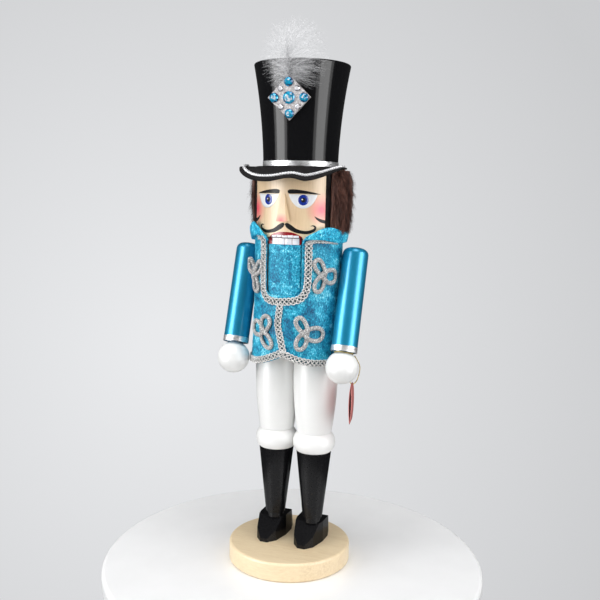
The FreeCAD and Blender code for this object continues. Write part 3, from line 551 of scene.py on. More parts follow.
def lever_skin():
    """The lever is lacquered like the arms, and dark red inside the mouth."""
    skin = Skin("jaw_lever_paint", Metallic=0.45, Roughness=0.4, Coat_Weight=0.4, Coat_Roughness=0.15)
    flake = skin.noise(3000, detail=2)
    blue = skin.ramp(flake, (0.3, (0.003, 0.2, 0.34)), (0.7, (0.01, 0.34, 0.52)))
    depth = skin.add("ShaderNodeSeparateXYZ", Vector=skin.place).outputs["Y"]
    inside = skin.sum(skin.spread(depth, 0.0345, 0.0335), 1.0, "MULTIPLY")
    skin.set(Base_Color=skin.blend(inside, blue, (0.10, 0.006, 0.008)))
    skin.set(Metallic=skin.spread(inside, 0.0, 1.0, 0.55, 0.0))
    skin.bump(flake, 0.08, 0.0001)
    return skin.material


def paper_grain_skin():
    """Matte cut wood of hidden dowels."""
    return wood_skin("dowel_wood", (0.74, 0.58, 0.38), (0.58, 0.42, 0.25), rough=0.6, coat=0.0).material


def painted_shade_backing_skin():
    """A dark backing under the braid, standing in for the shade seen through its holes."""
    skin = Skin("painted_shade_backing", Roughness=0.9)
    skin.set(Base_Color=skin.ramp(skin.noise(1100), (0.3, (0.045, 0.09, 0.11)), (0.7, (0.055, 0.11, 0.13))))
    return skin.material


SKINS = {
    "black": black_skin(), "white": white_skin(), "blue": metallic_blue_skin(),
    "silver": silver_skin(rough=0.34), "felt": felt_skin(), "fur": fur_skin(), "down": feather_skin(),
    "velvet": velvet_skin("vest_velvet"),
    # The collar's copy is painted 1.4 times lighter, as painted light.
    "collar": velvet_skin("collar_velvet", (0.3, 0.1, 0.2), 1.4, patch=0.2),
    "plastron": velvet_skin("plastron_velvet", (0.7, 0.4, 0.1), 1.0, (1, 1, 0.6), patch=0.22),
    "braid": thread_skin("silver_braid", (0.20, 0.195, 0.19), (0.98, 0.97, 0.95), 0.15),
    "glitter": glitter_skin(), "shade_backing": painted_shade_backing_skin(),
    "boot": black_skin("black_satin_lacquer", 0.4, 0.2),
    "gold": thread_skin("gold_elastic", (0.25, 0.17, 0.04), (0.72, 0.55, 0.22)),
    "bright_cord": thread_skin("bright_silver_cord", (0.4, 0.4, 0.41), (0.9, 0.9, 0.92), 0.4),
    "cord": cord_skin(), "dowel": paper_grain_skin(), "card": card_skin(),
    "black_paint": paint_skin("black_brush_paint", (0.012, 0.012, 0.013), rough=0.4, coat=0.12),
    "eye_white": paint_skin("eye_white_paint", (0.86, 0.88, 0.90), depth=0.05),
    "iris": paint_skin("iris_blue_paint", (0.008, 0.040, 0.40), depth=0.45),
    "glint": paint_skin("glint_paint", (0.90, 0.90, 0.86), depth=0.05),
    "lip": paint_skin("lip_red_paint", (0.30, 0.008, 0.015)),
    "tooth": paint_skin("tooth_white_paint", (0.84, 0.84, 0.90), depth=0.08),
    "blue_stone": stone_skin("blue_stone", (0.0, 0.025, 0.11), (0.01, 0.40, 0.68)),
    "clear_stone": stone_skin("clear_stone", (0.16, 0.15, 0.16), (0.90, 0.88, 0.92)),
}


# --- turned and carved wood: CAD pieces that keep their shape ---------------------------------

def dress(node, skin):
    """Gives a CAD piece its finish."""
    item = nodes[node]
    item.data.materials.clear()
    item.data.materials.append(skin)
    return item


def dress_wood():
    dress("base_disc", base_skin())
    dress("head", face_skin())
    softened(dress("nose", nose_skin()), 0.7 * MM, 3)
    trunk = wood_skin("trunk_wood", (0.72, 0.55, 0.36), (0.55, 0.38, 0.22)).material
    dress("torso", trunk)
    for node in ("ankle_dowels", "knee_dowels", "hip_dowels", "neck_dowels", "hat_dowel"):
        dress(node, SKINS["dowel"])
    dress("jaw_pin", silver_skin("steel_pin", 0.35))
    softened(dress("jaw_lever", lever_skin()), 1.2 * MM, 3)
    dress("hat_body", SKINS["black"])
    dress("hat_band", SKINS["silver"])
    for side in ("left", "right"):
        softened(dress(f"{side}_shoe", SKINS["boot"]), 0.7 * MM, 3, 20)
        dress(f"{side}_boot", SKINS["boot"])
        dress(f"{side}_knee_ring", SKINS["white"])
        dress(f"{side}_thigh", SKINS["white"])
        dress(f"{side}_arm", SKINS["blue"])
        dress(f"{side}_cuff_band", SKINS["silver"])
        dress(f"{side}_hand", SKINS["white"])
        dress(f"{side}_hand_peg", SKINS["dowel"])
        dress(f"{side}_shoulder_dowel", SKINS["blue"])


# --- the painted face -------------------------------------------------------------------------

MOUTH_ASIDE = 1.4  # millimetres; mouth and moustache are painted a little to the figure's left


def face_point(arc, z, lift):
    return on_round(HEAD_R + lift, arc / HEAD_R, z)


def paint_area(parts, start, end, top, bottom, lift, columns=40, rows=5):
    """Raised paint between two edges; start and end are arc lengths, top and bottom give z."""
    grid = []
    for row in range(rows + 1):
        line = []
        for column in range(columns + 1):
            arc = mix(start, end, column / columns)
            line.append(face_point(arc, mix(bottom(arc), top(arc), row / rows), lift))
        grid.append(line)
    under = [[Vector((p.x, p.y, p.z)) * 1.0 for p in line] for line in grid]
    for line in under:
        for p in line:
            shrink = (HEAD_R - 0.1 * MM) / math.hypot(p.x, p.y)
            p.x, p.y = p.x * shrink, p.y * shrink
    parts.slab(grid, under)


def paint_disc(parts, arc, z, radius, lift, steps=40, squeeze=1.0):
    rings = []
    for share, height in ((1.0, -0.05 * MM), (0.97, lift), (0.6, lift + 0.03 * MM), (0.02, lift + 0.04 * MM)):
        rings.append([face_point(arc + radius * squeeze * share * math.cos(a),
                                 z + radius * share * math.sin(a), height)
                      for a in (2 * math.pi * s / steps for s in range(steps))])
    offset = parts.grid(rings, closed_columns=True)
    parts.faces.append(tuple(offset + 3 * steps + s for s in range(steps)))


def brush_stroke(parts, points, lift=0.12 * MM, mirror=1, shift=0.0):
    """A stroke through (arc, z, half width) in millimetres, thicker along its middle."""
    path = catmull([(p[0] * mirror + shift, p[1], p[2]) for p in points], 10)
    edge_a, middle, edge_b = [], [], []
    for index, point in enumerate(path):
        before, after = path[max(index - 1, 0)], path[min(index + 1, len(path) - 1)]
        along = Vector((after.x - before.x, after.y - before.y)).normalized()
        across = Vector((-along.y, along.x)) * max(point.z, 0.03)
        for line, side, height in ((edge_a, 1, 0.0), (middle, 0, lift), (edge_b, -1, 0.0)):
            line.append(face_point((point.x + across.x * side) * MM, (point.y + across.y * side) * MM,
                                   height + 0.02 * MM))
    parts.grid([edge_a, middle, edge_b])


def make_eyes():
    centre, iris_z, lid = 15.9 * MM, 326.3 * MM, 331.0 * MM
    whites, irises, pupils, glints = Parts(), Parts(), Parts(), Parts()
    for side in (-1, 1):
        reach = 12.2 * MM

        def bottom(arc):
            share = abs((arc - side * 16.6 * MM) / reach)
            return lid - 11.6 * MM * max(0.0, 1 - share ** 2.3) ** 0.85
        paint_area(whites, side * 16.6 * MM - reach, side * 16.6 * MM + reach,
                   lambda arc: lid, bottom, 0.10 * MM, 48, 6)
        here = side * centre + 0.8 * MM
        paint_disc(irises, here, iris_z, 4.5 * MM, 0.17 * MM)
        paint_disc(pupils, here, iris_z, 2.0 * MM, 0.25 * MM)
        paint_disc(glints, here - 0.9 * MM, iris_z + 0.5 * MM, 0.6 * MM, 0.33 * MM, 16)
    whites.build("eye_whites", "figure", SKINS["eye_white"])
    irises.build("irises", "figure", SKINS["iris"])
    pupils.build("pupils", "figure", SKINS["black_paint"])
    glints.build("eye_glints", "figure", SKINS["glint"])


def make_brows_and_moustache():
    strokes = Parts()
    brow = [(3.6, 332.7, 1.0), (5.5, 333.1, 1.75), (10, 333.2, 1.75), (17, 332.8, 1.35),
            (24, 332.1, 0.85), (31.5, 331.2, 0.1)]
    tache = [(0.2, 305.9, 0.5), (1.6, 305.7, 1.7), (4.6, 303.8, 2.1), (9.0, 301.2, 1.75),
             (13.5, 300.0, 1.45), (18, 299.6, 1.35), (22, 300.3, 1.3), (25.2, 301.9, 1.1),
             (26.1, 303.9, 0.9), (24.2, 305.2, 0.55), (21.8, 304.9, 0.15)]
    whisker = [(26.6, 312.9, 0.15), (29.3, 310.9, 0.95), (33, 309.2, 1.35), (37, 308.4, 1.4)]
    for side in (-1, 1):
        brush_stroke(strokes, brow, mirror=side)
        brush_stroke(strokes, whisker, mirror=side)
        brush_stroke(strokes, tache, mirror=side, shift=MOUTH_ASIDE)
    item = strokes.build("brows_moustache_whiskers", "figure", SKINS["black_paint"])
    modifier(item, "SUBSURF", levels=1, render_levels=2)


def tooth(parts, radius, left, right, foot, top, bulge):
    """One pillow-shaped painted tooth on a cylinder."""
    grid = []
    for row in range(7):
        line = []
        for column in range(9):
            u, v = column / 4 - 1, row / 3 - 1
            swell = bulge * (1 - abs(u) ** 3) * (1 - abs(v) ** 3)
            arc = mix(left, right, column / 8)
            line.append(on_round(radius + swell, arc / radius, mix(foot, top, row / 6)))
        grid.append(line)
    parts.grid(grid)


def make_mouth():
    """Lips, a dark red mouth and two rows of teeth; the lower row is on the jaw."""
    lips = Parts()
    lip = [(-13.9, 295.2, 0.4), (-11, 297.0, 0.8), (-6, 298.5, 0.95), (0, 298.8, 0.95),
           (6, 298.5, 0.95), (11, 297.0, 0.8), (14.9, 295.2, 0.5)]
    brush_stroke(lips, lip, shift=MOUTH_ASIDE)
    shift, half = MOUTH_ASIDE * MM, 14.4 * MM
    paint_area(lips, shift - half, shift + half,
               lambda arc: MOUTH_Z + 3.9 * MM * math.cos(abs(arc - shift) / half * 1.5) ** 0.7 + 0.1 * MM,
               lambda arc: MOUTH_Z, 0.06 * MM)
    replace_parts(lips.build("lips", "figure", SKINS["lip"]), "upper_teeth")
    upper, lower = Parts(), Parts()
    half = 12.4 * MM
    for index in range(5):
        left = shift - half + index * half * 0.4 + 0.2 * MM
        tooth(upper, HEAD_R + 0.1 * MM, left, left + half * 0.4 - 0.4 * MM,
              MOUTH_Z + 0.1 * MM, MOUTH_Z + (1.9 + 0.3 * (index % 2)) * MM, 0.35 * MM)
    foot, top = low("lower_teeth").z - 0.8 * MM, high("lower_teeth").z + 0.6 * MM
    for index in range(4):
        left = shift - half + index * half * 0.5 + 0.2 * MM
        tooth(lower, PLASTRON_R + 0.15 * MM, left, left + half * 0.5 - 0.4 * MM, foot, top, 0.3 * MM)
    upper.build("upper_tooth_row", "figure", SKINS["tooth"])
    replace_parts(lower.build("lower_tooth_row", "jaw", SKINS["tooth"]), "lower_teeth")
    gum = Parts()
    front = PLASTRON_R - 0.05 * MM
    levels = ((foot, 0.0), (top - 0.3 * MM, 0.0), (top - 0.1 * MM, 0.2 * MM), (top - 0.1 * MM, 1.6 * MM))
    gum.grid([[on_round(front - back, arc / front, z)
               for arc in (mix(-14.6, 15.1, c / 24) * MM for c in range(25))] for z, back in levels])
    gum.build("lower_gum", "jaw", SKINS["lip"])


# --- hair -------------------------------------------------------------------------------------

FUR_ASIDE = Vector((2.0, 0.5, 0)) * MM


def fur_radius(z):
    """The hair puffs out in the middle and tucks in behind the collar."""
    share = min(1.0, max(0.0, (z - 299 * MM) / (351 * MM - 299 * MM)))
    return FUR_R - 2.4 * MM + 1.9 * MM * math.sin(math.pi * share ** 1.4)


def fur_point(radius, turn, z):
    """The hair sits a little to the figure's left of the head's axis."""
    away = smooth_step((math.pi - abs(turn - math.pi) - 1.0) / 0.5)
    return on_round(radius, turn, z) + FUR_ASIDE * away


def make_fur():
    first, last = math.radians(62.5), math.radians(297.5)
    under = Parts()
    top_z, foot_z = 351.6 * MM, 299.5 * MM
    rows, inner = [], []
    for step in range(25):
        z = mix(foot_z, top_z, step / 24)
        turns = [mix(first, last, c / 150) for c in range(151)]
        rows.append([fur_point(fur_radius(z) - 1.3 * MM
                               + 0.7 * MM * noise.noise(Vector((t * 9, z * 90, 3))), t, z) for t in turns])
        inner.append([on_round(HEAD_R + 0.1 * MM, t, z) for t in turns])
    under.slab(rows, inner)
    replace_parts(under.build("fur_backing", "figure", SKINS["fur"]), "fur_hair")
    locks = Parts()
    for _ in range(8000):
        lock(locks, random.uniform(first, last), random.uniform(foot_z + 3 * MM, top_z))
    for _ in range(400):
        tuft(locks, random.uniform(first + 0.05, last - 0.05), random.uniform(foot_z + 6 * MM, top_z))
    piece("fur_locks", locks.verts, locks.faces, "figure", SKINS["fur"])


def tuft(parts, turn, z):
    """A clump of wisps that stands out from the rest and comes to a ragged point."""
    clump_turn = turn + random.uniform(-0.12, 0.12)
    clump_z = z - random.uniform(3, 8) * MM
    reach = random.uniform(0.8, 3.9) * MM
    tip = fur_point(fur_radius(clump_z) + reach, clump_turn, max(298 * MM, clump_z))
    for _ in range(16):
        root_turn, root_z = turn + random.gauss(0, 0.05), z + random.gauss(0, 1.3) * MM
        root = fur_point(fur_radius(root_z) - 1.2 * MM, root_turn, root_z)
        end = tip + Vector((random.gauss(0, 0.7), random.gauss(0, 0.7), random.gauss(0, 1.2))) * MM
        out = Vector((root.x, root.y, 0)).normalized()
        side = Vector((-out.y, out.x, 0)) * random.uniform(0.15, 0.3) * MM
        start = len(parts.verts)
        for step in range(4):
            share = step / 3
            middle = root.lerp(end, share) + out * math.sin(math.pi * share) * 0.9 * MM
            parts.verts += [middle - side * (1 - share * 0.9), middle + side * (1 - share * 0.9)]
        parts.faces += [(start + 2 * s, start + 2 * s + 1, start + 2 * s + 3, start + 2 * s + 2)
                        for s in range(3)]


def lock(parts, turn, z):
    """One tapered wisp: it leaves the hide and falls, bending with its neighbours."""
    clump = noise.noise(Vector((turn * 7, z * 110, 7)))
    sway = clump * 0.9 + random.uniform(-0.35, 0.35)
    length = random.uniform(5, 10.5) * MM
    puff = (1.3 + 1.5 * noise.noise(Vector((turn * 11, z * 160, 1))) + random.uniform(0, 1.3)) * MM
    width = random.uniform(0.16, 0.34) * MM
    across = Vector((math.cos(turn), math.sin(turn), 0)) * width
    start = len(parts.verts)
    for step in range(5):
        share = step / 4
        height = max(297.5 * MM, z - length * share ** 1.3)
        out = fur_radius(height) - 1.5 * MM + puff * math.sin(math.pi * min(1, 0.1 + share * 0.62))
        middle = fur_point(out, turn + sway * share * length / FUR_R, height)
        parts.verts += [middle - across * (1 - share) ** 0.6, middle + across * (1 - share) ** 0.6]
    parts.faces += [(start + 2 * s, start + 2 * s + 1, start + 2 * s + 3, start + 2 * s + 2) for s in range(4)]


def make_hair_edges():
    """Narrow black fabric strips in front of the hair."""
    strips = Parts()
    for side in (-1, 1):
        rows = []
        for step in range(61):
            z = mix(298.5, 351.0, step / 60) * MM
            line = []
            for share, lift in ((0, 0.05), (0.08, 0.75), (0.5, 0.95), (0.92, 0.8), (1, 0.05)):
                turn = math.radians(mix(55.2, 63.4, share)) * side
                rough = 0.12 * noise.noise(Vector((share * 6, z * 900, side * 4.0)))
                line.append(on_round(HEAD_R + (lift + rough) * MM, turn, z))
            rows.append(line)
        strips.grid(rows)
    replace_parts(strips.build("hair_edges", "figure", SKINS["felt"]), "hair_edge_strips")


# --- hat --------------------------------------------------------------------------------------

VISOR_R, VISOR_SHIFT, VISOR_ASIDE, FELT = 46.4 * MM, 9.2 * MM, 3.6 * MM, 1.8 * MM
FELT_Z = HEAD_TOP + 0.2 * MM


def visor_edge(turn):
    """Edge of the drooping felt visor, at a turn in degrees from the hat's front."""
    rise = 11.9 * smooth_step((abs(turn) - 19) / 68)
    away = turn - 13.5
    reach = 17 if away > 0 else 26
    bump = 3.0 * math.cos(math.radians(90 * away / reach)) ** 2 if abs(away) < reach else 0.0
    angle = math.radians(turn)
    return Vector((VISOR_R * math.sin(angle) - VISOR_ASIDE, -VISOR_SHIFT - VISOR_R * math.cos(angle),
                   (340.5 + rise + bump) * MM))


def visor_point(turn, share, lift=0.0):
    """A point on the felt between the hat and the visor's edge."""
    root = on_round(33.2 * MM, math.radians(turn), FELT_Z)
    edge = visor_edge(turn)
    flat = root.lerp(edge, share)
    reach = math.hypot(edge.x, edge.y) - 37.5 * MM
    over = max(0.0, (math.hypot(flat.x, flat.y) - 37.5 * MM) / reach)
    z = mix(root.z, edge.z, over ** 1.15 if over else 0.0) + FELT / 2 + lift
    return Matrix.Rotation(HAT_TURN, 3, "Z") @ Vector((flat.x, flat.y, z))


def make_visor():
    felt = Parts()
    turns = [step * 1.5 for step in range(-63, 63)]
    shares = [i / 14 for i in range(15)]
    wobble = [[noise.noise(Vector((t * 0.05, s * 2, 1.7))) * 0.25 * MM for s in shares] for t in turns]

    def sheet(lift):
        return [[visor_point(t, s, lift * (1 - 0.4 * s ** 8) + w) for s, w in zip(shares, row)]
                for t, row in zip(turns, wobble)]
    felt.slab(sheet(FELT / 2), sheet(-FELT / 2))
    ring = []
    for step in range(128):
        angle = 2 * math.pi * step / 128
        ring.append([on_round(r * MM, angle, FELT_Z + h * FELT)
                     for r, h in ((31, 0), (38.4, 0.0), (38.8, 0.5), (38.4, 1.0), (31, 1.0))])
    felt.grid(ring, closed_rows=True, closed_columns=True)
    visor = felt.build("felt_visor", "figure", SKINS["felt"])
    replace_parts(visor, "hat_visor")
    make_visor_cord()


def twisted(parts, path, spread, radius, pitch, plies=2, closed=False, sides=6):
    """Plies wound round a path."""
    for ply in range(plies):
        made, travelled, normal = [], 0.0, Vector((0, 0, 1))
        for index, point in enumerate(path):
            before = path[index - 1] if index or closed else path[index]
            after = path[(index + 1) % len(path)] if index < len(path) - 1 or closed else path[index]
            along = (after - before).normalized()
            normal = (normal - along * normal.dot(along)).normalized()
            across = along.cross(normal)
            angle = 2 * math.pi * (travelled / pitch + ply / plies)
            made.append(point + (normal * math.cos(angle) + across * math.sin(angle)) * spread)
            travelled += (after - point).length
        parts.tube(made, radius, sides, closed)


def make_visor_cord():
    """A two-ply cord sewn a few millimetres inside the edge."""
    cord = Parts()
    path = []
    for step in range(-121, 122):
        turn = step * 0.77
        inset = 4.3 * MM / (visor_edge(turn) - on_round(33.2 * MM, math.radians(turn), FELT_Z)).length
        path.append(visor_point(turn, 1 - inset, FELT / 2 + 0.55 * MM))
    path = evenly(path, 0.4 * MM)
    twisted(cord, path, 0.62 * MM, 0.72 * MM, 4.6 * MM)
    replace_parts(cord.build("visor_cord_twist", "figure", SKINS["bright_cord"]), "visor_cord")


def make_cockade():
    frame_at = cockade_place()
    reach, thick = 18.4 * MM, 1.6 * MM
    plate = Parts()
    corners = [(1, 0), (0, 1), (-1, 0), (0, -1)]
    rings = []
    for size, height in ((0.97, 0.0), (1.0, 0.3), (1.0, 1.2), (0.96, 1.6), (0.0, 1.6)):
        rings.append([frame_at @ Vector((x * reach * size, y * reach * size, height * MM)) for x, y in corners])
    plate.grid(rings, closed_columns=True)
    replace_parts(plate.build("cockade_setting", "figure", SKINS["glitter"], smooth=False), "cockade_plate")
    seats = [(0, 0, 5.2)] + [(x * 12.7, y * 12.7, 4.0) for x, y in corners]
    small = [(x * 7.3, y * 7.3, 2.5) for x in (-1, 1) for y in (-1, 1)]
    blue, clear = Parts(), Parts()
    for x, y, radius in seats:
        cut_stone(blue, frame_at, x, y, radius, 2.3, thick)
    for x, y, radius in small:
        cut_stone(clear, frame_at, x, y, radius, 1.6, thick)
    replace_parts(blue.build("cockade_blue", "figure", SKINS["blue_stone"], smooth=False),
                "cockade_blue_stones")
    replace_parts(clear.build("cockade_clear", "figure", SKINS["clear_stone"], smooth=False),
                "cockade_clear_stones")


def cut_stone(parts, place_at, x, y, radius, height, base, sides=12):
    """A brilliant-cut stone: girdle, crown facets and a flat table."""
    rings = []
    for share, lift, turn in ((1.0, 0.0, 0.0), (1.0, 0.25, 0.0), (0.80, 0.66, 0.5), (0.52, 1.0, 0.0)):
        rings.append([place_at @ Vector(((x + radius * share * math.cos(a)) * MM,
                                         (y + radius * share * math.sin(a)) * MM,
                                         base + height * lift * MM))
                      for a in (2 * math.pi * (s + turn) / sides for s in range(sides))])
    offset = len(parts.verts)
    for ring in rings:
        parts.verts.extend(ring)
    for row in range(3):
        for s in range(sides):
            a, b = offset + row * sides + s, offset + row * sides + (s + 1) % sides
            c, d = a + sides, b + sides
            if row == 1:
                before = offset + (row + 1) * sides + (s - 1) % sides
                parts.faces += [(a, b, c), (a, c, before)]
            elif row == 2:
                parts.faces += [(a, b, d), (a, d, c)]
            else:
                parts.faces.append((a, b, d, c))
    parts.faces.append(tuple(offset + 3 * sides + s for s in range(sides)))


def make_plume():
    """Marabou down: a short quill whose limp barbs fill an oval fan; each is fringed with barbules."""
    chooser = random.Random(5)
    down = Parts()
    foot = HAT_FRONT @ Vector((0, -40.2 * MM, 421 * MM))
    quill = catmull([foot, foot + Vector((0.4, -2.4, 10)) * MM, foot + Vector((0.2, -3.2, 20)) * MM,
                     foot + Vector((-1.4, -2.8, 31)) * MM], 14)
    down.tube(quill, lambda s: mix(0.3, 0.06, s) * MM, 6)
    across, middle, up = 28 * MM, 10 * MM, 31.5 * MM
    for _ in range(900):
        bearing = math.radians(chooser.uniform(-58, 238))
        spread = chooser.uniform(0.12, 1.0) ** 0.5
        aside = middle + across * spread * math.cos(bearing)
        radius = chooser.uniform(42.5, 51) * MM
        end = on_round(radius, aside / (46 * MM), 440 * MM + up * spread * math.sin(bearing))
        share = (end.z - 414 * MM) / (62 * MM) + chooser.uniform(-0.2, 0.1)
        start = quill[int(min(1.0, max(0.0, share)) * (len(quill) - 1))]
        barb(down, chooser, start, end)
    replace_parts(down.build("marabou_plume", "figure", SKINS["down"]), "plume")


def barb(parts, chooser, start, end):
    """One limp barb: it rises from the quill, arches over and is fringed on all sides."""
    length = (end - start).length
    bend = start.lerp(end, 0.5) + Vector((0, -0.05, chooser.uniform(0.08, 0.34))) * length
    swirl = Vector((chooser.uniform(-1, 1), chooser.uniform(-0.5, 0.5), chooser.uniform(-1, 1)))
    path = []
    for step in range(8):
        share = step / 7
        point = start.lerp(bend, share).lerp(bend.lerp(end, share), share)
        point += swirl * length * 0.06 * math.sin(share * 4)
        radius = math.hypot(point.x, point.y)
        hat = mix(41.3, 36.3, min(1.0, max(0.0, (440 * MM - point.z) / (30 * MM)))) * MM + 0.5 * MM
        if point.z < 440.5 * MM and radius < hat:
            point.x, point.y = point.x * hat / radius, point.y * hat / radius
        path.append(point)
    parts.tube(path, lambda s: mix(0.05, 0.02, s) * MM, 3)
    for _ in range(44):
        share = chooser.uniform(0.1, 1.0) ** 0.8
        index = min(6, int(share * 7))
        root = path[index].lerp(path[index + 1], share * 7 - index)
        along = (path[index + 1] - path[index]).normalized()
        out = Vector((chooser.uniform(-1, 1), chooser.uniform(-1, 1), chooser.uniform(-1, 1)))
        tip = root + (along * 1.4 + out).normalized() * chooser.uniform(1.2, 3.4) * MM
        wide = out.cross(along).normalized() * 0.026 * MM
        offset = len(parts.verts)
        parts.verts += [root - wide, root + wide, tip]
        parts.faces.append((offset, offset + 1, offset + 2))


# --- clothes ----------------------------------------------------------------------------------

def vest_radius(z):
    flare = max(0.0, (WAIST_Z - z) / (WAIST_Z - HEM_Z))
    return mix(VEST_R, HEM_R, flare)


def vest_surface(turn, z, lift=0.0):
    return on_round(vest_radius(z) + lift, turn, z)


def opening(x, z):
    """True inside the U-shaped opening for the jaw."""
    foot, corner, half = 246.4 * MM, 6 * MM, 16.4 * MM
    if abs(x) > half or z < foot:
        return False
    dx, dz = abs(x) - (half - corner), foot + corner - z
    return not (dx > 0 and dz > 0 and math.hypot(dx, dz) > corner)


def hem_edge(turn):
    """Height of the cut-away hem; it rises to a point at the front."""
    arc = ((turn + math.pi) % (2 * math.pi) - math.pi) * VEST_R
    away = abs(arc - 3.2 * MM) / (14 * MM)
    sag = 1.6 * MM * smooth_step(-arc / (30 * MM))
    return HEM_Z + 0.4 * MM + 8.9 * MM * math.exp(-away ** 1.2) - sag


def neckline(turn):
    """Top edge of the vest, tucked up under the collar."""
    signed = math.degrees((turn + math.pi) % (2 * math.pi) - math.pi)
    under_tip = smooth_step((signed + 75) / 15) if signed < 0 else 0.0
    return VEST_TOP + (4.6 + 3.4 * under_tip) * MM


def make_vest():
    """Velvet glued to the trunk: a thin sheet with small rucks and a slit behind."""
    columns, rows = 360, 150
    slit = math.asin(SLOT_X / VEST_R)
    verts, faces, keep = [], [], {}
    for row in range(rows + 1):
        for column in range(columns):
            turn = 2 * math.pi * column / columns
            z = mix(hem_edge(turn) + 0.9 * MM, neckline(turn), row / rows)
            ruck = 0.34 * noise.noise(Vector((math.sin(turn) * 3.2, math.cos(turn) * 3.2, z * 55)))
            ruck += 0.16 * noise.noise(Vector((math.sin(turn) * 11, math.cos(turn) * 11, z * 240)))
            verts.append(vest_surface(turn, z, (ruck - 0.05) * MM))
    for face in grid_faces(rows + 1, columns, closed_columns=True):
        middle = sum((verts[i] for i in face), Vector()) / 4
        back = middle.y > 0 and abs(middle.x) < SLOT_X and middle.z > SLIT_Z
        front = middle.y < 0 and opening(middle.x, middle.z)
        sleeve = math.hypot(middle.y - SHOULDER[1], middle.z - SHOULDER[2]) < 4.5 * MM
        if not (back or front or sleeve):
            faces.append(face)
    used = sorted({i for face in faces for i in face})
    renumber = {old: new for new, old in enumerate(used)}
    faces = [tuple(renumber[i] for i in face) for face in faces]
    vest = piece("velvet_vest", [verts[i] for i in used], faces, "figure", SKINS["velvet"])
    modifier(vest, "SOLIDIFY", thickness=1.3 * MM, offset=-1)
    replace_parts(vest, "vest")


def plait(parts, path, width, surface, strand=0.66 * MM, pitch=14.4 * MM):
    """Gimp braid: four waving strands that cross over and under, laid along a flat path."""
    path = evenly([Vector((p[0], p[1], 0)) for p in path], 0.45 * MM)
    reach = width / 2 - strand
    for number in range(4):
        travelled, line = 0.0, []
        for index, point in enumerate(path):
            before, after = path[max(index - 1, 0)], path[min(index + 1, len(path) - 1)]
            along = (after - before).normalized()
            across = Vector((-along.y, along.x, 0))
            swing = 2 * math.pi * travelled / pitch + math.pi / 2 * number
            out = point + across * math.cos(swing) * reach
            weave = -math.cos(4 * swing) * math.tanh(4 * math.sin(swing))
            line.append(surface(out.x, out.y, (1.0 + 0.45 * weave) * MM))
            travelled += (after - point).length
        twisted(parts, line, strand * 0.42, strand * 0.62, 2.3 * MM, sides=5)


def shade_backing_strip(parts, path, width, surface):
    """A dark strip under the braid: painted shade seen through its holes."""
    path = evenly([Vector((p[0], p[1], 0)) for p in path], 1.2 * MM)
    rows = []
    for index, point in enumerate(path):
        along = (path[min(index + 1, len(path) - 1)] - path[max(index - 1, 0)]).normalized()
        across = Vector((-along.y, along.x, 0)) * width / 2
        rows.append([surface(p.x, p.y, 0.3 * MM) for p in (point - across, point, point + across)])
    parts.grid(rows)


def unrolled(u, z, lift):
    """From flat cloth, with u measured round the vest from the front, to its place."""
    return vest_surface(u / (VEST_R + 0.5 * MM), z, lift)


def make_braid():
    braid, shade_backing = Parts(), Parts()
    width = 7.0 * MM
    rim = catmull([(-29, 294.8), (-24.5, 295.6), (-20.6, 293.6), (-19.5, 288), (-19.4, 270),
                   (-19.2, 254), (-18.0, 247.5), (-13.5, 242.6), (-6, 241), (4, 241.4), (13, 242.8),
                   (18.6, 246.6), (21.6, 253.5), (22.4, 266), (22.4, 292)], 8)
    rim = [(p.x * MM, p.y * MM) for p in rim]
    neck = catmull([(20.5, 290.8), (27, 292.4), (36, 292.3), (45, 291.6), (52, 290.9)], 8)
    neck = [(p.x * MM, p.y * MM) for p in neck]
    front = catmull([(-0.9, 239), (-1.8, 230), (-2.4, 221), (-0.6, 213), (1.4, 204.5), (2.9, 197)], 8)
    front = [(p.x * MM, p.y * MM) for p in front]
    around = 2 * math.pi * (VEST_R + 0.5 * MM)
    start = 3.2 * MM
    hem = []
    for step in range(241):
        u = start + around * step / 240
        hem.append((u, hem_edge(u / VEST_R) + 3.3 * MM))
    for path, share in ((rim, 1.0), (front, 0.94), (hem, 0.92), (neck, 0.54)):
        plait(braid, path, width * share, unrolled)
        # Each braid gets a dark strip beneath it as painted shade.
        shade_backing_strip(shade_backing, path, width * share * 0.72, unrolled)
    shade_backing.build("braid_shade_backing", "figure", SKINS["shade_backing"])
    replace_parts(braid.build("silver_gimp_braid", "figure", SKINS["braid"]), "vest_braid")


LEFT_FROG = [(-2, 1), (-6, 6), (-7, 10.5), (-5, 13), (-2.5, 13), (0, 10.5), (2.3, 5.5), (2.6, 0.5),
             (2.2, -7), (0.5, -11.5), (-3, -14), (-6, -12.5), (-6.5, -8), (-4.2, -3.3), (-0.5, 0.7),
             (3.7, 3), (9, 4.3), (14, 3.4), (16.6, 0), (16, -4), (12.5, -6.7), (8, -6.7), (4, -5.2),
             (1, -2.3)]
RIGHT_FROG = [(-0.5, 2.5), (-3, 6.5), (-2.2, 11), (1.5, 14), (5.5, 13), (6.8, 8.6), (4.8, 4),
              (1.5, 0.2), (-4.3, -2.8), (-10, -3.4), (-14.8, -1), (-16, 3.5), (-13.5, 7.5),
              (-9, 8.4), (-4, 6.3), (-0.1, 2.6), (3.3, -0.4), (6.7, -4.3), (9, -8.3), (8.6, -11.8),
              (5.5, -13), (1.3, -10.6), (-2.1, -6), (-2.9, -2)]
HEART_FROG = [(-1, 1), (-7, 4.5), (-11.5, 9), (-11, 13.6), (-6.5, 14.8), (-3, 11), (-0.6, 5.5),
              (1.8, 0), (4.8, -5), (6.4, -10), (4.2, -13), (0.2, -12.4), (-1.6, -8), (-1.2, -2.5),
              (0.8, 4), (4, 10.5), (8, 13.6), (11, 12), (10.4, 7.5), (6.5, 3.4), (2, 1)]


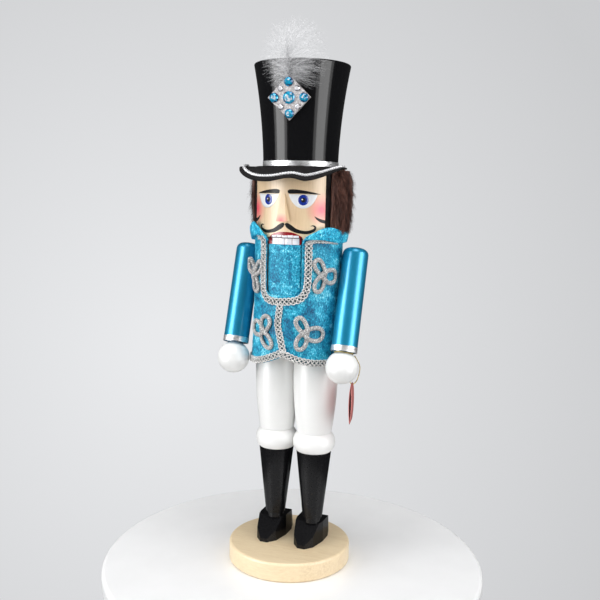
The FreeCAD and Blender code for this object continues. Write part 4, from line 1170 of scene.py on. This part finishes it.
def crossings(path):
    """Pairs of places, as indices, where a closed flat path crosses itself."""
    found, count = [], len(path)
    for i in range(count):
        a, b = path[i], path[(i + 1) % count]
        for j in range(i + 3, count - (1 if i < 2 else 0)):
            c, d = path[j], path[(j + 1) % count]
            r, s = b - a, d - c
            across = r.x * s.y - r.y * s.x
            if abs(across) < 1e-12:
                continue
            t = ((c.x - a.x) * s.y - (c.y - a.y) * s.x) / across
            u = ((c.x - a.x) * r.y - (c.y - a.y) * r.x) / across
            if 0 <= t < 1 and 0 <= u < 1:
                found.append((i, j))
    return found


ARM_CLEAR = SHOULDER[0] - 12.9 * MM


def pushed_forward(point, reach):
    """Moves a loop of the right-hand frog forward, the more the further it reaches outward."""
    away = smooth_step((1.5 - reach) / 11)
    return point + Vector((0.4, -9.0, 0)) * away * MM


def make_frog(name, node, knot_turn, knot_z, shape, tilt=0.0, pushed=False):
    """One length of cord laid in three loops that pass over and under each other.

    The loop beside a forward-hanging arm can be pushed off the vest by it.
    """
    turned = Matrix.Rotation(math.radians(tilt), 2)
    flat = evenly(catmull([turned @ Vector(p) for p in shape], 8, closed=True), 0.5, closed=True)
    count = len(flat)
    lifts = [0.0] * count
    visits = sorted(i for pair in crossings(flat) for i in pair)
    over = {index for number, index in enumerate(visits) if number % 2 == 0}
    for index in over:
        for step in range(-9, 10):
            here = (index + step) % count
            lifts[here] = max(lifts[here], 1.9 * math.cos(math.pi * step / 20) ** 2)
    path = []
    for point, lift in zip(flat, lifts):
        u = math.radians(knot_turn) * VEST_R + point.x * MM
        placed = unrolled(u, knot_z * MM + point.y * MM, (1.2 + lift) * MM)
        if pushed:
            placed = pushed_forward(placed, point.x)
        placed.x = max(-ARM_CLEAR, min(ARM_CLEAR, placed.x))
        path.append(placed)
    for _ in range(12 if pushed else 4):
        path = [path[i] * 0.5 + (path[i - 1] + path[(i + 1) % count]) * 0.25 for i in range(count)]
    cord = Parts()
    thick = 1.75 if pushed else 1.3
    rings = []
    for index, point in enumerate(path):
        along = (path[(index + 1) % count] - path[index - 1]).normalized()
        out = Vector((point.x, point.y, 0)).normalized()
        across = along.cross(out).normalized()
        out = across.cross(along)
        ring = []
        for step in range(16):
            a = 2 * math.pi * step / 16
            side = 1 if math.cos(a) > 0 else -1
            herring = 1 + 0.06 * math.cos(index * 1.7 + 3 * math.sin(a) * side)
            ring.append(point + (across * math.cos(a) * 1.85 + out * math.sin(a) * thick) * herring * MM)
        rings.append(ring)
    cord.grid(rings, closed_rows=True, closed_columns=True)
    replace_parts(cord.build(name, "figure", SKINS["cord"]), node)


def make_frogs():
    make_frog("cord_frog_lower_left", "frog_lower_left", 29.5, 215.2, LEFT_FROG)
    make_frog("cord_frog_upper_left", "frog_upper_left", 51.3, 263.8, LEFT_FROG)
    make_frog("cord_frog_lower_right", "frog_lower_right", -25.0, 213.7, RIGHT_FROG)
    make_frog("cord_frog_upper_right", "frog_upper_right", -47.8, 260.4, HEART_FROG, 0, True)


LEFT_COLLAR = ((25, 291.4), (27.3, 295.5), (31.4, 297.6), (38, 299.9), (43.4, 302.1), (49.3, 303.8),
               (56, 304.6), (62.5, 304.1), (71, 302.7), (81, 300.8), (90, 300.2), (200, 300))
RIGHT_COLLAR = ((19, 292.5), (21, 295), (25, 298), (30, 301.8), (37, 305.8), (44, 308), (50, 307.2),
                (58, 304.6), (68, 302.2), (80, 300.8), (200, 300))


def level_at(angle, levels):
    """Straight interpolation in a short list of (turn, height)."""
    for (first, low_z), (last, high_z) in zip(levels, levels[1:]):
        if angle <= last:
            return mix(low_z, high_z, max(0.0, (angle - first) / (last - first)))
    return levels[-1][1]


def collar_top(degrees):
    """Upper fold of the collar, by turn in degrees; its front tips stand up, the right one higher."""
    return level_at(abs(degrees), RIGHT_COLLAR if degrees < 0 else LEFT_COLLAR) * MM


def make_collar():
    """Stand-and-fall velvet collar, built as a soft closed roll of cloth."""
    collar = Parts()
    steps = 220
    rings = []
    for step in range(steps + 1):
        degrees = mix(25.0, 340.0, step / steps)
        signed = degrees if degrees < 180 else degrees - 360
        turn, angle = math.radians(degrees), abs(signed)
        top = collar_top(signed)
        foot = mix(295.8 if signed < 0 else 293.6, 290.2, smooth_step((angle - 40) / 40)) * MM
        foot = min(foot, top - 2.4 * MM)
        flare = (0.3 if signed < 0 else 1.2) * math.exp(-((angle - 60) / 14) ** 2)
        wave = 0.5 * noise.noise(Vector((turn * 2.4, 0, 5)))
        ring = []
        for radius, share in ((38.6, -0.15), (39.6, 0.45), (41.0, 0.85), (42.3, 1.0), (43.1, 0.94),
                              (43.2, 0.72), (42.7, 0.42), (42.2, 0.14), (41.7, 0.0), (40.8, 0.02),
                              (39.9, 0.10)):
            crease = 0.3 * noise.noise(Vector((turn * 7, share * 4, radius * 0.4)))
            ring.append(on_round((radius + (flare + wave) * share + crease) * MM, turn, mix(foot, top, share)))
        rings.append(ring)
    offset = collar.grid(rings, closed_columns=True)
    count = len(rings[0])
    collar.faces.append(tuple(reversed(range(offset, offset + count))))
    collar.faces.append(tuple(range(offset + steps * count, offset + (steps + 1) * count)))
    item = collar.build("velvet_collar", "figure", SKINS["collar"])
    modifier(item, "SUBSURF", levels=1, render_levels=1)
    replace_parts(item, "collar")


def make_plastron():
    """Velvet on the jaw's front, puffed a little and turned in at its edges."""
    cloth = Parts()
    half, foot, top = 16.05 * MM, low("jaw_plastron").z, high("jaw_plastron").z + 1.2 * MM
    columns, rows = 44, 60

    def sheet(front):
        grid = []
        for row in range(rows + 1):
            line = []
            for column in range(columns + 1):
                u, v = 2 * column / columns - 1, 2 * row / rows - 1
                round_off = (1 - abs(u) ** 16) * (1 - abs(v) ** 16)
                puff = (0.45 * round_off + 0.12 * noise.noise(Vector((u * 5, v * 6, 2)))) * MM
                lift = PLASTRON_R - 0.9 * MM + (puff + 0.5 * MM * round_off ** 0.3 if front else 0)
                line.append(on_round(lift, u * half / PLASTRON_R, mix(foot, top, row / rows)))
            grid.append(line)
        return grid
    cloth.slab(sheet(True), sheet(False))
    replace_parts(cloth.build("velvet_plastron", "jaw", SKINS["plastron"]), "jaw_plastron")


# --- tag --------------------------------------------------------------------------------------

def make_tag():
    """A blank folded card on gold elastic, hanging behind the left hand."""
    wrist = Vector(WRIST)
    loop = Parts()
    tilt = Matrix.Rotation(-math.radians(17.6), 3, "X")
    ring = [wrist + tilt @ Vector((8 * math.cos(a), 8 * math.sin(a), 0.12 * math.sin(3 * a))) * MM
            for a in (2 * math.pi * s / 60 for s in range(60))]
    twisted(loop, ring, 0.22 * MM, 0.36 * MM, 2.2 * MM, closed=True)
    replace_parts(loop.build("wrist_elastic_twist", "arm_left", SKINS["gold"]), "wrist_elastic")
    strands = Parts()
    eye = wrist + Vector((4.5, 12.6, -29.5)) * MM
    for side in (-1, 1):
        path = catmull([wrist + Vector((side * 7, 9.2, -3.5)) * MM,
                        wrist + Vector((2 + side * 8.2, 15, -14)) * MM,
                        eye + Vector((side * 4.0, 1.0, 4.5)) * MM,
                        eye + Vector((side * 0.6, 0, 0)) * MM], 14)
        twisted(strands, path, 0.2 * MM, 0.33 * MM, 2.0 * MM)
    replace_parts(strands.build("tag_elastic_twist", "tag", SKINS["gold"]), "tag_elastic")
    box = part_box("hang_tag")
    centre = (box[0] + box[1]) / 2
    flat = Vector((math.cos(math.radians(101)), math.sin(math.radians(101)), 0))
    facing = Vector((flat.y, -flat.x, 0))
    card = Parts()
    height = box[1].z - box[0].z
    for leaf in (-1, 1):
        def sheet(shift):
            grid = []
            for row in range(13):
                v = row / 12
                line = []
                for column in range(9):
                    u = column / 4 - 1
                    bow = 1.1 * math.sin(math.pi * (1 - v)) ** 0.8 * leaf * MM
                    corner = 1 - 0.5 * max(0.0, v - 0.86) / 0.14
                    line.append(centre + flat * u * 10 * MM * corner + facing * (bow + shift)
                                + Vector((0, 0, (v - 0.5) * height)))
                grid.append(line)
            return grid
        card.slab(sheet(0.2 * MM), sheet(-0.2 * MM))
    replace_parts(card.build("blank_hang_tag", "tag", SKINS["card"]), "hang_tag")


# --- stage ------------------------------------------------------------------------------------

CAMERA_AT = Vector((0.2546, -0.6636, 0.3328))
CAMERA_YAW, CAMERA_DOWN, CAMERA_ROLL = 20.84, 7.59, 1.2
LENS = 48.57


def make_camera():
    lens = bpy.data.cameras.new("camera")
    lens.lens, lens.sensor_width, lens.clip_start = LENS, 36, 0.01
    camera = bpy.data.objects.new("camera", lens)
    camera.matrix_world = (
        Matrix.Translation(CAMERA_AT) @ Matrix.Rotation(math.radians(CAMERA_YAW), 4, "Z")
        @ Matrix.Rotation(math.radians(90 - CAMERA_DOWN), 4, "X")
        @ Matrix.Rotation(math.radians(CAMERA_ROLL), 4, "Z"))
    bpy.context.scene.collection.objects.link(camera)
    bpy.context.scene.camera = camera


def softbox(name, bearing, height, distance, width, tall, power, shine):
    """A large area light; bearing is in degrees from the camera's own bearing, positive to its right.

    Its power lights surfaces; shine is the power of its mirror image in glossy ones.
    """
    a = math.radians(CAMERA_YAW + bearing)
    place_at = Vector((math.sin(a) * distance, -math.cos(a) * distance, height))
    turn = (Vector((0, 0, 0.24)) - place_at).to_track_quat("-Z", "Y").to_euler()
    panels = (("fill", power, 1.0, 1.0), ("shine", shine * 0.45, 0.98, 1.0), ("core_shine", shine * 0.55, 0.96, 0.6))
    for kind, energy, nearer, share in panels:
        light = bpy.data.lights.new(f"{name}_{kind}", "AREA")
        light.shape, light.size, light.size_y = "RECTANGLE", width * share, tall
        light.energy = energy
        item = bpy.data.objects.new(light.name, light)
        item.location, item.rotation_euler = place_at * nearer, turn
        item.visible_diffuse = kind == "fill"
        item.visible_glossy = kind != "fill"
        bpy.context.scene.collection.objects.link(item)


def make_world():
    """A pale surround; the camera sees it with painted light, brighter near one spot of the picture and darker away
    from it; mirror-like surfaces see it darker, as in a room with black walls.
    """
    world = bpy.data.worlds.new("studio")
    world.use_nodes = True
    tree = world.node_tree
    surround = tree.nodes["Background"]
    surround.inputs["Color"].default_value = (0.97, 0.98, 1.0, 1)
    window = tree.nodes.new("ShaderNodeTexCoord")
    away = tree.nodes.new("ShaderNodeVectorMath")
    away.operation = "DISTANCE"
    away.inputs[1].default_value = (0.28, 0.42, 0)
    tree.links.new(window.outputs["Window"], away.inputs[0])
    # Painted falloff of light on the surround the camera sees.
    painted_light_falloff = tree.nodes.new("ShaderNodeMapRange")
    for socket, value in zip(("From Min", "From Max", "To Min", "To Max"), (0.05, 0.85, 0.84, 0.62)):
        painted_light_falloff.inputs[socket].default_value = value
    tree.links.new(away.outputs["Value"], painted_light_falloff.inputs["Value"])
    ray = tree.nodes.new("ShaderNodeLightPath")
    levels = {"Is Camera Ray": painted_light_falloff.outputs["Result"], "Is Glossy Ray": 0.05}
    strength = 0.34
    for output, level in levels.items():
        choose = tree.nodes.new("ShaderNodeMix")
        tree.links.new(ray.outputs[output], choose.inputs[0])
        if isinstance(strength, float):
            choose.inputs[2].default_value = strength
        else:
            tree.links.new(strength, choose.inputs[2])
        if isinstance(level, float):
            choose.inputs[3].default_value = level
        else:
            tree.links.new(level, choose.inputs[3])
        strength = choose.outputs[0]
    tree.links.new(strength, surround.inputs["Strength"])
    bpy.context.scene.world = world


def make_stage():
    thick = 14 * MM
    bpy.ops.mesh.primitive_cylinder_add(vertices=180, radius=172 * MM, depth=thick, location=(0, 0, -thick / 2))
    turntable = bpy.context.object
    turntable.name = "turntable"
    softened(turntable, 4 * MM, 5)
    skin = Skin("white_turntable", Roughness=0.35)
    skin.set(Base_Color=skin.ramp(skin.noise(30, detail=3), (0.3, (0.87, 0.87, 0.87)), (0.7, (0.90, 0.90, 0.90))))
    turntable.data.materials.append(skin.material)
    make_world()
    softbox("left_box", -62, 0.40, 1.25, 0.92, 1.2, 14, 23)
    softbox("right_box", 57, 0.40, 1.25, 0.98, 1.2, 10.4, 18)
    softbox("overhead", 0, 1.7, 0.5, 1.2, 1.2, 17.5, 14)
    bpy.context.scene.view_settings.view_transform = "Standard"


dress_wood()
make_eyes()
make_brows_and_moustache()
make_mouth()
make_fur()
make_hair_edges()
make_visor()
make_cockade()
make_plume()
make_vest()
make_braid()
make_frogs()
make_collar()
make_plastron()
make_tag()
make_camera()
make_stage()
